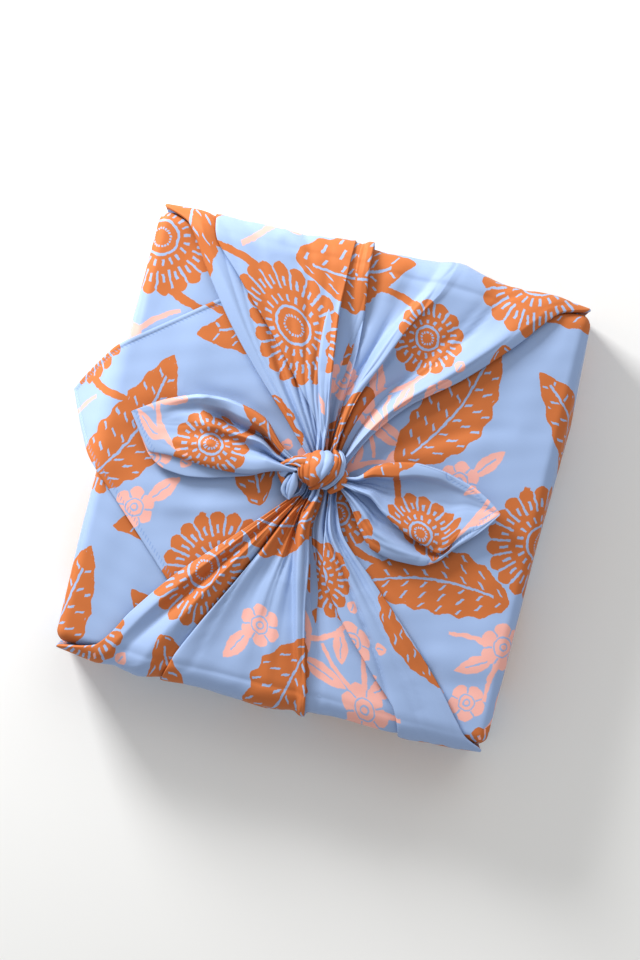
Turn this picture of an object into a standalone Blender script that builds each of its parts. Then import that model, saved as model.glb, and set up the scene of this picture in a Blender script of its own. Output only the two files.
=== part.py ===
"""A furoshiki: one square of printed cotton tied round a flat square box, which is left out.

The cloth is one solid, a sheet with the folds in which it lies. The left corner lies over the top
first, the right corner lies on it and hangs past the left side, and the far and near corners are
gathered in pleats and tied in a knot, whose two ends lie to the left and to the right.

Units are metres, +Z is up, and the origin is the middle of the base. The far side is +Y.
"""

from collections import namedtuple
from math import cos, pi, radians, sin

import bmesh
import bpy
import numpy as np

MM = 0.001

# The wrapped block
SIDE = 280 * MM
TOP = 60 * MM
HALF = SIDE / 2

# The cloth: its thickness, and the free space between two layers
CLOTH = 1.2 * MM
SPACE = 0.4 * MM
PITCH = CLOTH + SPACE

# The rounding where the cloth bends over an edge of the block, and round its upright corners
EDGE_ROUND = 3 * MM
CORNER_ROUND = 5 * MM

# Points along one side of a ring of the walls, and between two sides
SIDE_POINTS = 9
CORNER_POINTS = 2

# Middle heights of the two flaps that lie flat, and the upper surface of the second
FLAP_1 = TOP - CLOTH / 2
FLAP_2 = FLAP_1 + PITCH
FLAP_TOP = FLAP_2 + CLOTH / 2

# Where the flaps have a row of points: x, and half the flap's width where it isn't full
FLAP_HALF_WIDTH = HALF - 1 * MM
LEFT_FLAP_ROWS = ((-125, 139), (-60, 139), (20, 139), (70, 95), (118, 40))
RIGHT_FLAP_ROWS = (125, 90, 40, 0, -20, -50, -80, -110, -134)

# How far the walls belly out, from the left end of a wall to its right end
SIDE_BELLY_MM = {"left": (1.5, 2.5, 2.0, 3.5, 1.0), "right": (2.0, 3.0, 4.0, 6.5, 2.0)}
GATHER_BELLY_MM = {
    "near": (0.0, 3.5, 6.5, 5.0, 7.0, 7.5, 5.0, 1.5, 4.0, 2.0, 0.0),
    "far": (0.0, 1.0, 2.0, 2.5, 5.0, 5.5, 7.0, 9.0, 4.0, 1.5, 0.0),
}

# The right corner's tip, and how its two hems spread from it for each metre towards the right
TIP_Y = 17 * MM
HEM_SPREAD = {"far": 0.78, "near": 0.94}

# How far the tip hangs past the left edge, and the bend with which it starts to hang
OVERHANG = 52 * MM
DROOP_OVER = 9 * MM
DROOP_ANGLE = radians(64)
TIP_BLUNT = 1.5 * MM

# The knot's rolls of cloth. Millimetres and degrees: height is above the flaps, long, wide and
# high are half sizes, turn is from the X axis, and depth is how deep its slanting folds are.
# The folds wind round by ROLL_TWIST from the middle to an end.
ROLL_ROWS = 13
ROLL_COLUMNS = 20
ROLL_SQUARENESS = 3.2
ROLL_END = 0.1
ROLL_TWIST = 4.0
Roll = namedtuple("Roll", "name x y height long wide high turn folds depth")
KNOT_ROLLS = (
    Roll("knot body", -3.4, 4.2, 11.0, 20, 10.5, 10.5, 8, 5, 0.09),
    Roll("left strand", -23, 1.6, 8.0, 13, 5.5, 6.0, 12, 3, 0.08),
    Roll("right strand", 13, -1.0, 8.5, 11, 5.5, 6.0, -18, 3, 0.08),
    Roll("lower loop", -19, -9.0, 6.0, 9.5, 5.0, 4.5, 62, 2, 0.10),
)

# Where a gathered corner is measured: distances from the knot along Y, then heights on the wall
MOUTH = {"near": 11 * MM, "far": 14 * MM}
MIDWAY = 75 * MM
RIM = 134 * MM
WALL_Z = 40 * MM
FOOT_Z = 6 * MM

# Its rows of points: on the top, and heights above the floor on the wall
TOP_ROWS = 9
WALL_ROWS_MM = (50, 40, 26, 14)

# Its last row is let into the base's edge, and the layer turned under hangs free of it
LET_IN = 1.5 * MM
LET_IN_Z = 1.9 * MM
LET_IN_SHARE = 0.985
FREE_OUT = 1.0 * MM
FREE_Z = 4.2 * MM

# Its first row lies inside the knot
INSIDE_KNOT = 5 * MM
INSIDE_SHARE = 0.92

# One fold of a gathered corner. x, rise, depth and drop are in millimetres, each at the knot's
# mouth, midway, at the rim, on the wall and at the foot. rise is above what the cloth lies on,
# depth is how far a pleat is tucked back, and drop is how far the next panel lies below it.
Fold = namedtuple("Fold", "kind x rise depth drop")
FLAT = (0, 0, 0, 0, 0)

NEAR_FOLDS = (
    Fold("left edge", (-19, -71, -124, -139, -139.4),
         (7, 3.6, 2.8, 2.6, 2.6), (5, 22, 26, 20, 10), (2, 1.8, 1.6, 1.6, 1.6)),
    Fold("line", (-16.5, -59, -110, -116, -116), (8, 3.4, 2.8, 2.6, 2.6), FLAT, FLAT),
    Fold("line", (-14, -47, -93, -98, -100), (12.5, 8, 4.2, 3.5, 2.6), FLAT, FLAT),
    Fold("tucked right", (-10.5, -36, -62, -66, -70),
         (11.5, 6.4, 4.8, 4.4, 2.6), (1, 11, 3, 1, -16), (6, 3.8, 3.2, 3.2, 0.1)),
    Fold("line", (-8, -18, -25, -26, -28), (9, 4.4, 3, 3, 2.6), FLAT, FLAT),
    Fold("line", (-5, -1, 17, 18, 16), (5.5, 2.6, 2, 2.2, 2.6), FLAT, FLAT),
    Fold("line", (-3, 1.5, 19.5, 20.5, 20), (11.5, 6.6, 4.6, 4.2, 2.6), FLAT, FLAT),
    Fold("tucked right", (0, 6.5, 23.5, 25, 26),
         (12.5, 6.8, 5, 4.6, 2.6), (1, 3.5, 2.5, 1, -8), (7, 4.8, 3.6, 3.4, 0.1)),
    Fold("line", (3, 14, 55, 58, 60), (5, 1.6, 1.4, 1.4, 2.6), FLAT, FLAT),
    Fold("tucked left", (5.5, 27, 80, 84, 90),
         (11, 5.2, 4.6, 4.4, 2.6), (1, 9, 5, 1, -8), (6, 3.8, 3.2, 3.2, 0.1)),
    Fold("line", (8.5, 44, 101, 106, 110), (11.5, 5.8, 3.8, 3.4, 2.6), FLAT, FLAT),
    Fold("right edge", (12, 65, 129, 139, 139.4),
         (7, 3.8, 3, 2.8, 2.6), (5, 20, 26, 20, 10), (2, 1.8, 1.6, 1.6, 1.6)),
)

FAR_FOLDS = (
    Fold("left edge", (-21, -75, -125, -139, -139.4),
         (7, 3.8, 3, 2.8, 2.6), (5, 20, 24, 20, 10), (2, 1.8, 1.6, 1.6, 1.6)),
    Fold("line", (-18, -64, -116, -126, -128), (11, 5.6, 3.4, 3, 2.6), FLAT, FLAT),
    Fold("tucked left", (-14, -51, -103, -108, -110),
         (10.5, 5.4, 4.4, 4.3, 2.6), (1, 3, 1.5, 1, -8), (5, 3.6, 3.2, 3.2, 0.1)),
    Fold("line", (-10, -32, -60, -60, -60), (12.5, 6.4, 3.6, 3.4, 2.6), FLAT, FLAT),
    Fold("tucked right", (-6, -12, -6, -4, -2),
         (11.5, 8, 6.4, 5.8, 2.6), (1, 12, 13, 10, -12), (6, 5.6, 4.8, 4.0, 0.1)),
    Fold("line", (-3.5, -4, 12, 18, 20), (5.5, 2, 1.6, 2, 2.6), FLAT, FLAT),
    Fold("line", (-2, 5, 30, 34, 36), (6.5, 2.8, 3.4, 4.5, 2.6), FLAT, FLAT),
    Fold("line", (0, 9.5, 42, 46, 50), (11.5, 8.4, 5.2, 4.4, 2.6), FLAT, FLAT),
    Fold("tucked right", (3, 14.5, 47, 52, 58),
         (12.5, 8.8, 5.0, 4.2, 2.6), (1, 3.5, -4, -6, -8), (7, 6.4, 1.6, 0.8, 0.1)),
    Fold("line", (6, 30, 80, 84, 88), (5.5, 2, 1.8, 2.2, 2.6), FLAT, FLAT),
    Fold("line", (8.5, 50, 106, 118, 124), (11, 6.4, 4.4, 3.4, 2.6), FLAT, FLAT),
    Fold("right edge", (12, 64, 126, 139, 139.4),
         (7, 4, 3, 2.8, 2.6), (5, 20, 24, 20, 10), (2, 1.8, 1.6, 1.6, 1.6)),
)
FOLDS = {"near": NEAR_FOLDS, "far": FAR_FOLDS}

# The knot's two ends, a row for each section from the root to the tip. x is the section's place,
# and every other pair is a point of it: y, and its height above the flaps, in millimetres.
RIGHT_END = (
    (11, (3, 11), (2, 12), (0.5, 10.5), (-1, 12), (-2.5, 11), (-4, 9), (-5, 7)),
    (20, (5.5, 10.5), (3, 9), (0, 9), (-3.5, 12), (-8, 10), (-14, 8), (-12.5, 4.5)),
    (33, (16.5, 11), (10, 8), (1.5, 6.5), (-6, 11.5), (-14, 10), (-28.5, 7), (-26, 3.6)),
    (50, (22, 11.5), (13, 7.5), (2, 5), (-12, 9.5), (-23, 9.5), (-37, 7), (-34, 3.4)),
    (66, (23.5, 11), (14, 7), (3, 4.5), (-12, 7), (-25, 9), (-38.5, 7), (-36, 3.4)),
    (82, (22.5, 10), (14, 6.5), (4, 4.5), (-7, 5.5), (-18, 7), (-31, 7.5), (-33.5, 5.5)),
    (98, (16.5, 9), (11.5, 6.5), (6, 5), (0, 5), (-6, 5.8), (-12, 6.8), (-16, 7)),
    (112, (5.6, 7.5), (5, 7.3), (4.4, 7.2), (3.8, 7.2), (3.2, 7.3), (2.6, 7.4), (2, 7.5)),
)
LEFT_END = (
    (-18, (-1.5, 9), (0, 10.5), (1.5, 12), (3.2, 13), (5, 12), (3.6, 10), (1.6, 8.4), (-1, 7)),
    (-32, (-4, 9.5), (1.5, 13), (8, 12), (14, 14.5), (17, 12), (11, 8.5), (2, 6), (-5, 5.5)),
    (-48, (-7.5, 9), (1, 15), (11, 12), (22, 15.5), (27, 12), (17, 7), (4, 4), (-9.5, 3.6)),
    (-64, (-9, 8.5), (2, 15.5), (13, 11), (26, 14), (32, 10.5), (19, 6), (4, 3.2), (-15, 3.2)),
    (-80, (-9.5, 8.5), (2, 13), (15, 10.5), (27, 11.5), (33, 9), (19, 5), (3, 3), (-19, 3.4)),
    (-96, (-10, 8.5), (2, 11), (13, 9.5), (23, 10), (29, 7.5), (17, 4.4), (2, 3), (-19, 4.2)),
    (-112, (-8, 8), (1, 9.5), (9, 9), (16, 8.6), (21.5, 6.6), (13, 4.2), (3, 3.4), (-9, 4.6)),
    (-126, (7, 7.6), (8.2, 7.6), (9.4, 7.6), (10.6, 7.4), (11.4, 6), (10.4, 4.8), (9.2, 4.8), (8, 4.8)),
)


def clear_scene():
    for thing in list(bpy.data.objects):
        bpy.data.objects.remove(thing)


def collection(name):
    made = bpy.data.collections.new(name)
    bpy.context.scene.collection.children.link(made)
    return made


def smooth_through(places, values, at):
    """A curve through the values that doesn't overshoot them, read at the places asked for."""
    places, values, at = (np.asarray(v, float) for v in (places, values, at))
    run = np.diff(places)
    slope = np.diff(values) / run
    tangent = np.concatenate([slope[:1], np.zeros(len(values) - 2), slope[-1:]])
    same_way = slope[:-1] * slope[1:] > 0
    both = slope[:-1] + slope[1:]
    tangent[1:-1][same_way] = 2 * (slope[:-1] * slope[1:])[same_way] / both[same_way]
    span = np.clip(np.searchsorted(places, at, side="right") - 1, 0, len(run) - 1)
    t = np.clip((at - places[span]) / run[span], 0, 1)
    start, end = values[span], values[span + 1]
    pull = (t**3 - 2 * t**2 + t) * tangent[span] + (t**3 - t**2) * tangent[span + 1]
    return start + (end - start) * (3 * t**2 - 2 * t**3) + pull * run[span]


def grid_faces(rows, columns, closed=False):
    """Quads between neighbouring rows of points. A closed grid joins its last column to its first."""
    across = columns if closed else columns - 1
    faces = []
    for row in range(rows - 1):
        for column in range(across):
            beside = (column + 1) % columns
            low, high = row * columns, (row + 1) * columns
            faces.append((low + column, low + beside, high + beside, high + column))
    return faces


def surface(name, points, faces, place):
    mesh = bpy.data.meshes.new(name)
    mesh.from_pydata([tuple(p) for p in points], [], faces)
    shape = bmesh.new()
    shape.from_mesh(mesh)
    bmesh.ops.recalc_face_normals(shape, faces=shape.faces)
    shape.to_mesh(mesh)
    shape.free()
    made = bpy.data.objects.new(name, mesh)
    place.objects.link(made)
    return made


def thicken(sheet):
    """Gives an open surface the cloth's thickness, half to each side."""
    solidify = sheet.modifiers.new("cloth thickness", "SOLIDIFY")
    solidify.thickness = CLOTH
    solidify.offset = 0


def ring(inset, height, belly):
    """One level of the walls, a square with round corners. The walls belly out by a share."""
    reach = HALF - CLOTH / 2 - inset
    bend = max(CORNER_ROUND - inset, MM)
    straight = np.linspace(-1, 1, SIDE_POINTS)
    turn = np.linspace(0, pi / 2, CORNER_POINTS + 2)[1:-1]
    points = []
    for number, side in enumerate(("left", "far", "right", "near")):
        angle = -pi / 2 * number
        bulge = SIDE_BELLY_MM.get(side, (0, 0))
        out = np.interp(straight, np.linspace(-1, 1, len(bulge)), bulge) * MM * belly
        if side == "right":
            out = out[::-1]
        line = [(-reach - o, y * (reach - bend)) for o, y in zip(out, straight)]
        corner = [(-reach + bend - bend * cos(a), reach - bend + bend * sin(a)) for a in turn]
        for x, y in line + corner:
            points.append((x * cos(angle) - y * sin(angle), x * sin(angle) + y * cos(angle), height))
    return points


def wrapper(place):
    """The base, the four walls and the two flaps that lie flat, as one open surface."""
    up = [radians(a) for a in (0, 45, 90)]
    levels = [(EDGE_ROUND * (1 - sin(a)), CLOTH / 2 + EDGE_ROUND * (1 - cos(a)), 0) for a in up]
    levels += [(0, z * TOP, sin(pi * z)) for z in (0.3, 0.55, 0.8)]
    levels += [(0, TOP - 2 * EDGE_ROUND, 0.3)]
    rings = [ring(*level) for level in levels]
    around = len(rings[0])
    points = [p for level in rings for p in level]
    faces = [tuple(range(around))] + grid_faces(len(rings), around, closed=True)
    top_ring = (len(rings) - 1) * around
    per_side = SIDE_POINTS + CORNER_POINTS
    # A flap starts from its wall and from the two corners beside it
    before = CORNER_POINTS + 1
    starts = {
        "left": [top_ring + (i % around) for i in range(-before, per_side + 1)],
        "right": [top_ring + i for i in range(2 * per_side - before, 3 * per_side + 1)],
    }
    for side, first in starts.items():
        row = first
        for level in flap_rows(side, [points[i] for i in first]):
            new = list(range(len(points), len(points) + len(level)))
            points += level
            faces += [(row[i], row[i + 1], new[i + 1], new[i]) for i in range(len(row) - 1)]
            row = new
    sheet = surface("wrapper", points, faces, place)
    thicken(sheet)
    return sheet


def flap_rows(side, start):
    """The rows of a flat flap after its wall: over the edge, across the top and to its tip."""
    sign = -1 if side == "left" else 1
    level = FLAP_1 if side == "left" else FLAP_2
    rows = []
    spread = np.linspace(-1, 1, len(start)) * (1 if side == "left" else -1)
    for angle in (radians(0), radians(45), radians(90)):
        inset = EDGE_ROUND * (1 - cos(angle))
        z = level - EDGE_ROUND * (1 - sin(angle))
        rows.append([(x - sign * inset * abs(x) / HALF, y * (1 - inset / HALF), z) for x, y, _ in start])
    if side == "left":
        for x, half in LEFT_FLAP_ROWS:
            rows.append([(x * MM, s * half * MM, level) for s in spread])
        return rows
    for x in RIGHT_FLAP_ROWS:
        rows.append(tip_row(x * MM + HALF + OVERHANG, x * MM, level, spread))
    lengths = np.linspace(0, OVERHANG - TIP_BLUNT, 9)[1:]
    for length, out, down in zip(lengths, *droop_path(lengths)):
        rows.append(tip_row(OVERHANG - length, -HALF - out, level - down, spread))
    return rows


def droop_path(lengths):
    """How far out and how far down the hanging corner is, along its length past the edge."""
    fine = np.linspace(0, OVERHANG, 200)
    angle = DROOP_ANGLE * np.clip(fine / DROOP_OVER, 0, 1)
    step = fine[1]
    out = np.cumsum(np.cos(angle)) * step
    down = np.cumsum(np.sin(angle)) * step
    return np.interp(lengths, fine, out), np.interp(lengths, fine, down)


def tip_row(from_tip, x, z, spread):
    """One row of the right flap, between its two hems."""
    far = min(FLAP_HALF_WIDTH, TIP_Y + HEM_SPREAD["far"] * from_tip)
    near = max(-FLAP_HALF_WIDTH, TIP_Y - HEM_SPREAD["near"] * from_tip)
    return [(x, near + (far - near) * (1 + s) / 2, z) for s in spread]


def side_edge(way, x, rise, depth, drop):
    """A side edge of a gathered corner, with the layer that is turned under it."""
    bend = PITCH / 2
    edge = [
        (x + way * depth, rise - drop, 1),
        (x + way * bend, rise - drop, 1),
        (x, rise - drop / 2, 0.5),
        (x + way * bend, rise, 0),
    ]
    return edge if way > 0 else edge[::-1]


def tucked_pleat(way, x, rise, depth, drop):
    """A pleat tucked back under itself. As its drop falls to nothing it opens into a slope."""
    bend = min(PITCH / 2, drop / 4)
    tucked = [
        (x - way * bend, rise),
        (x, rise - bend),
        (x - way * bend, rise - 2 * bend),
        (x - way * (depth - bend), rise - drop + 2 * bend),
        (x - way * depth, rise - drop + bend),
        (x - way * (depth - bend), rise - drop),
    ]
    along = np.linspace(0, 1, len(tucked))
    opened = [(x - way * depth * k, rise - drop * k) for k in along]
    share = min(drop / (2 * PITCH), 1)
    mixed = []
    for (x_tucked, z_tucked), (x_open, z_open) in zip(tucked, opened):
        mixed.append((share * x_tucked + (1 - share) * x_open, share * z_tucked + (1 - share) * z_open, 0))
    return mixed if way > 0 else mixed[::-1]


def fold_points(kind, x, rise, depth, drop):
    """The points of one fold in a section, from left to right along the cloth: x, rise, and 1 where
    it is the layer turned under."""
    if kind == "line":
        return [(x, rise, 0)]
    way = 1 if kind in ("left edge", "tucked right") else -1
    if "edge" in kind:
        return side_edge(way, x, rise, depth, drop)
    return tucked_pleat(way, x, rise, depth, drop)


def base_path(side, along):
    """What a gathered corner lies on, at a length from the knot: y, z and the outward normal."""
    sign = -1 if side == "near" else 1
    flat = HALF - EDGE_ROUND - MOUTH[side]
    bend = EDGE_ROUND * pi / 2
    if along <= flat:
        return sign * (MOUTH[side] + along), FLAP_TOP, 0, 1
    if along <= flat + bend:
        angle = (along - flat) / EDGE_ROUND
        y = HALF - EDGE_ROUND + EDGE_ROUND * sin(angle)
        return sign * y, FLAP_TOP - EDGE_ROUND * (1 - cos(angle)), sign * sin(angle), cos(angle)
    return sign * HALF, FLAP_TOP - EDGE_ROUND - (along - flat - bend), sign, 0


def gathered_corner(side, place):
    """The far or near corner of the cloth, from inside the knot over the rim and down its wall."""
    mouth = MOUTH[side]
    flat = HALF - EDGE_ROUND - mouth
    floor = flat + EDGE_ROUND * pi / 2 + FLAP_TOP - EDGE_ROUND
    measured = [0, MIDWAY - mouth, RIM - mouth, floor - WALL_Z, floor - FOOT_Z]
    lengths = np.concatenate([
        np.linspace(0, flat, TOP_ROWS),
        flat + EDGE_ROUND * np.radians([30, 60, 90]),
        floor - np.array(WALL_ROWS_MM) * MM,
        measured[-1:],
    ])
    belly = GATHER_BELLY_MM[side]
    rows = []
    for along in lengths:
        y, z, ny, nz = base_path(side, along)
        row = []
        for kind, *columns in FOLDS[side]:
            values = [smooth_through(measured, column, along) * MM for column in columns]
            row += fold_points(kind, *values)
        share = sin(pi * np.clip((along - flat) / (measured[-1] - flat), 0, 1)) ** 0.7
        out = np.interp([x for x, _, _ in row], np.linspace(-HALF, HALF, len(belly)), belly) * MM * share
        rows.append([(x, y + (rise + o) * ny, z + (rise + o) * nz) for (x, rise, _), o in zip(row, out)])
    sign = -1 if side == "near" else 1
    foot = []
    for x, _, turned_under in row:
        let_in = np.array((x * LET_IN_SHARE, sign * (HALF - LET_IN), LET_IN_Z))
        free = np.array((x, sign * (HALF + FREE_OUT), FREE_Z))
        foot.append(tuple(let_in + (free - let_in) * turned_under))
    rows.append(foot)
    rows.insert(0, [(x * INSIDE_SHARE, sign * INSIDE_KNOT, z) for x, _, z in rows[0]])
    points = [p for r in rows for p in r]
    sheet = surface(f"{side} corner", points, grid_faces(len(rows), len(rows[0])), place)
    thicken(sheet)
    return sheet


def knot_end(name, sections, place):
    """One of the knot's two ends, an open leaf of cloth through its sections."""
    rows = [[(x * MM, y * MM, FLAP_TOP + z * MM) for y, z in rest] for x, *rest in sections]
    points = [p for row in rows for p in row]
    sheet = surface(name, points, grid_faces(len(rows), len(rows[0])), place)
    thicken(sheet)
    return sheet


def knot_roll(roll, place):
    """One roll of the knot, a short barrel with the slanting folds of the cloth wound round it."""
    centre = np.array((roll.x * MM, roll.y * MM, FLAP_TOP + roll.height * MM))
    turn = radians(roll.turn)
    points = []
    for t in np.linspace(-1, 1, ROLL_ROWS):
        swell = ROLL_END + (1 - ROLL_END) * max(1 - abs(t) ** ROLL_SQUARENESS, 0) ** 0.5
        for angle in np.linspace(0, 2 * pi, ROLL_COLUMNS, endpoint=False):
            size = swell * (1 + roll.depth * cos(roll.folds * angle + ROLL_TWIST * t)) * MM
            along = t * roll.long * MM
            across = roll.wide * size * cos(angle)
            height = roll.high * size * sin(angle)
            x = along * cos(turn) - across * sin(turn)
            y = along * sin(turn) + across * cos(turn)
            points.append(tuple(centre + (x, y, height)))
    faces = grid_faces(ROLL_ROWS, ROLL_COLUMNS, closed=True)
    last = (ROLL_ROWS - 1) * ROLL_COLUMNS
    faces += [tuple(range(ROLL_COLUMNS)), tuple(range(last, last + ROLL_COLUMNS))]
    return surface(roll.name, points, faces, place)


def cotton():
    material = bpy.data.materials.new("printed cotton")
    material.use_nodes = True
    shader = material.node_tree.nodes["Principled BSDF"]
    shader.inputs["Base Color"].default_value = (0.34, 0.5, 0.8, 1)
    shader.inputs["Roughness"].default_value = 0.85
    shader.inputs["Metallic"].default_value = 0.0
    return material


def join(main, others):
    """One body from the sheets. The exact solver leaves crumbs where two sheets only just cross."""
    for other in others:
        union = main.modifiers.new(f"with {other.name}", "BOOLEAN")
        union.operation = "UNION"
        union.object = other
        union.solver = "MANIFOLD"
        other.hide_render = True
        other.display_type = "WIRE"


def main():
    clear_scene()
    shown = collection("furoshiki wrap")
    helpers = collection("sheets joined to the cloth")
    cloth = wrapper(shown)
    cloth.name = "furoshiki_cloth"
    others = [gathered_corner(side, helpers) for side in ("near", "far")]
    others += [knot_roll(roll, helpers) for roll in KNOT_ROLLS]
    others.append(knot_end("right end", RIGHT_END, helpers))
    others.append(knot_end("left end", LEFT_END, helpers))
    join(cloth, others)
    cloth.data.materials.append(cotton())


main()
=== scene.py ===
# %% [markdown]
# # A furoshiki wrap
# One square of printed cotton is folded into a flat square. The left corner is laid over the top,
# the right corner over that, and the far and near corners are gathered and tied in the middle.
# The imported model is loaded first. It fixes where everything is, and its outer limits are kept,
# because the finished cloth has to stay near them.

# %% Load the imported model
from collections import namedtuple
from math import atan, cos, pi, radians, sin

import bpy
import numpy as np
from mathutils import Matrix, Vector


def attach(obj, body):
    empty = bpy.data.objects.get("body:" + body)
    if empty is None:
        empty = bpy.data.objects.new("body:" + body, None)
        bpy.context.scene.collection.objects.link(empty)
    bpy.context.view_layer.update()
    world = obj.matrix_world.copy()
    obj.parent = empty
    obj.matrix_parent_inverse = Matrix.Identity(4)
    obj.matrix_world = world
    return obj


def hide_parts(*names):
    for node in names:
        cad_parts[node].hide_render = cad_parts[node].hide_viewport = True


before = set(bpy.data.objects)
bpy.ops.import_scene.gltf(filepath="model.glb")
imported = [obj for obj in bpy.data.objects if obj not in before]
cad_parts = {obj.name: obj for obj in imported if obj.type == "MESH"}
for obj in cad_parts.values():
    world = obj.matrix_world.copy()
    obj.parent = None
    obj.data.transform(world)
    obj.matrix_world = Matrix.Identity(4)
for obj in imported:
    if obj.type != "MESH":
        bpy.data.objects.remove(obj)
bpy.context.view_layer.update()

MM = 0.001

# %% [markdown]
# ## Tables that are read smoothly
# Folds and hems are placed at a few stations. Between them a value follows a cubic
# curve that never overshoots, so a ridge stays a ridge. The curve is worked out for whole
# arrays of places at once.

# %% Reading a table
def through(places, values, at):
    """Cubic through the values: the slope at a place is the harmonic mean of those beside it, or 0
    at a turning point, so the curve stays between its values. Values may have more columns."""
    places, values, at = np.asarray(places, float), np.asarray(values, float), np.asarray(at, float)
    wide = (slice(None),) + (None,) * (values.ndim - 1)
    run = np.diff(places)[wide]
    slope = np.diff(values, axis=0) / run
    both = slope[:-1] + slope[1:]
    product = slope[:-1] * slope[1:]
    mean = np.where(product > 0, 2 * product / np.where(both == 0, 1, both), 0)
    tangent = np.concatenate([slope[:1], mean, slope[-1:]])
    span = np.clip(np.searchsorted(places, at, side="right") - 1, 0, len(places) - 2)
    t = np.clip((at - places[span]) / np.diff(places)[span], 0, 1)[wide]
    start, end, length = values[span], values[span + 1], run[span]
    pull = (t**3 - 2 * t**2 + t) * tangent[span] + (t**3 - t**2) * tangent[span + 1]
    return start + (end - start) * (3 * t**2 - 2 * t**3) + pull * length


def eased(value, low, high):
    """0 below low, 1 above high, and a smooth S between them."""
    t = np.clip((value - low) / (high - low), 0, 1)
    return t * t * (3 - 2 * t)


print("up a step and on:", through((0, 1, 2), (0, 10, 10), [0, 0.5, 1, 1.5, 2]))

# %% [markdown]
# ## A path for the cloth to follow
# Folded cloth runs straight, bends over an edge and runs straight again. Such a path is easy to
# give as a list of lengths and turns, as if one walked along it. The heading is added up along
# the way, and the place is the sum of the steps. A drawn curve would do as well, but a list is
# easier to change by a millimetre.

# %% Walking along a path
def walk(start, legs, step=0.5 * MM):
    """The path that starts at a point, heading along +X, and takes each leg (length, turn in
    degrees) in turn. Returns its lengths, points and normals, which are on the right-hand side."""
    ends = np.cumsum([0] + [length for length, _ in legs])
    heading = np.cumsum([0] + [radians(turn) for _, turn in legs])
    lengths = np.arange(0, ends[-1] + step / 2, step)
    angle = np.interp(lengths, ends, heading)
    x = start[0] + np.concatenate([[0], np.cumsum(np.cos(angle[1:]) * step)])
    z = start[1] + np.concatenate([[0], np.cumsum(np.sin(angle[1:]) * step)])
    return lengths, np.stack([x, z], 1), np.stack([np.sin(angle), -np.cos(angle)], 1)


def along_path(path, at):
    """The points and normals of a path at the lengths asked for."""
    lengths, points, normals = path
    place, normal = (np.stack([np.interp(at, lengths, v[:, i]) for i in range(2)], -1)
                     for v in (points, normals))
    return place, normal / np.linalg.norm(normal, axis=-1, keepdims=True)


print("a quarter circle of 6 mm ends at", walk((0, 0), [(6 * MM * pi / 2, 90)])[1][-1])

# %% [markdown]
# ## Small creases
# Between the big folds the cotton has soft troughs and ridges. Each is a line of a few points,
# with a width and a height. The height falls off on both sides like a bell, and
# fades towards the line's two ends. Noise could give relief too, but it has no direction, and
# creases run out from where the cloth is pulled.

# %% Creases along a line
Crease = namedtuple("Crease", "width height line")


def nearest_on_line(x, y, line):
    """How far each point is from a line of a few points, how far along it the nearest place lies,
    and the line's length. The nearest place on a stretch is the point's projection, kept between
    the stretch's ends."""
    line = np.array(line, float)
    ends = np.concatenate([[0], np.cumsum(np.linalg.norm(np.diff(line, axis=0), axis=1))])
    nearest = np.full(np.shape(x), np.inf)
    along = np.zeros(np.shape(x))
    for start, end, low, high in zip(line[:-1], line[1:], ends[:-1], ends[1:]):
        way = end - start
        t = np.clip(((x - start[0]) * way[0] + (y - start[1]) * way[1]) / (way @ way), 0, 1)
        distance = np.hypot(x - start[0] - t * way[0], y - start[1] - t * way[1])
        along = np.where(distance < nearest, low + t * (high - low), along)
        nearest = np.minimum(nearest, distance)
    return nearest, along, ends[-1]


def crease_height(x, y, creases):
    """Sum over the lines of height * exp(-(distance / width)^2) * sin(pi * share of the line)^0.6,
    in metres. x, y and the table are in millimetres."""
    total = np.zeros(np.shape(x))
    for crease in creases:
        distance, along, length = nearest_on_line(x, y, crease.line)
        bell = np.exp(-((distance / crease.width) ** 2))
        total += crease.height * bell * np.sin(pi * np.clip(along / length, 0, 1)) ** 0.6
    return total * MM


def pulled_creases(share, width, away, seed, count, deepest, longest):
    """Sharp creases that run out from the knot. Each keeps its place, a share of the cloth's width,
    and has its own depth, spread and reach, drawn with the seed. The height is the sum of -depth *
    exp(-offset / (spread + away / 70)) * exp(-(away / reach)^2). Only the height is in metres; the
    other lengths are in millimetres."""
    draw = np.random.default_rng(seed)
    total = np.zeros(np.broadcast(share, width, away).shape)
    for _ in range(count):
        place, size, spread = draw.uniform((0.03, 0.4, 0.5), (0.97, 1.0, 1.3))
        reach = longest * draw.uniform(0.3, 1.0)
        bell = np.exp(-np.abs(share - place) * width / (spread + away / 70))
        total -= deepest * size * bell * np.exp(-((away / reach) ** 2))
    return total * MM


WAVES_MM = (14, 23, 34, 52, 80)


def unevenness(x, y, seed, size=0.32):
    """The sum of size * wave / 80 * sin(2 * pi * distance / wave) over five wave lengths, each with
    a seeded direction, so that no stretch of cloth is quite flat. Only the sum is in metres; the
    other lengths are in millimetres."""
    draw = np.random.default_rng(seed)
    total = np.zeros(np.shape(x))
    for wave in WAVES_MM:
        turn, phase = draw.uniform(0, 2 * pi, 2)
        distance = x * cos(turn) + y * sin(turn)
        total += np.sin(distance * 2 * pi / wave + phase) * (wave / WAVES_MM[-1])
    return total * size * MM


print("heights across a ridge 2 mm high:",
      crease_height(np.array([-4.0, 0, 4]), np.zeros(3), [Crease(4, 2, ((0, -9), (0, 9)))]))

# %% [markdown]
# ## From a grid of points to a piece of cloth
# Every piece is a grid of points. Its UV map "Cloth" says where each point lies on the flat
# square before folding, in metres, so the print runs on round a fold as it does in the real
# thing. The UV map "Hem" gives the way along the nearest free edge and the distance from it.

# %% Making a piece
NO_HEM = 1.0
Grid = namedtuple("Grid", "points flat hem")


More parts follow.
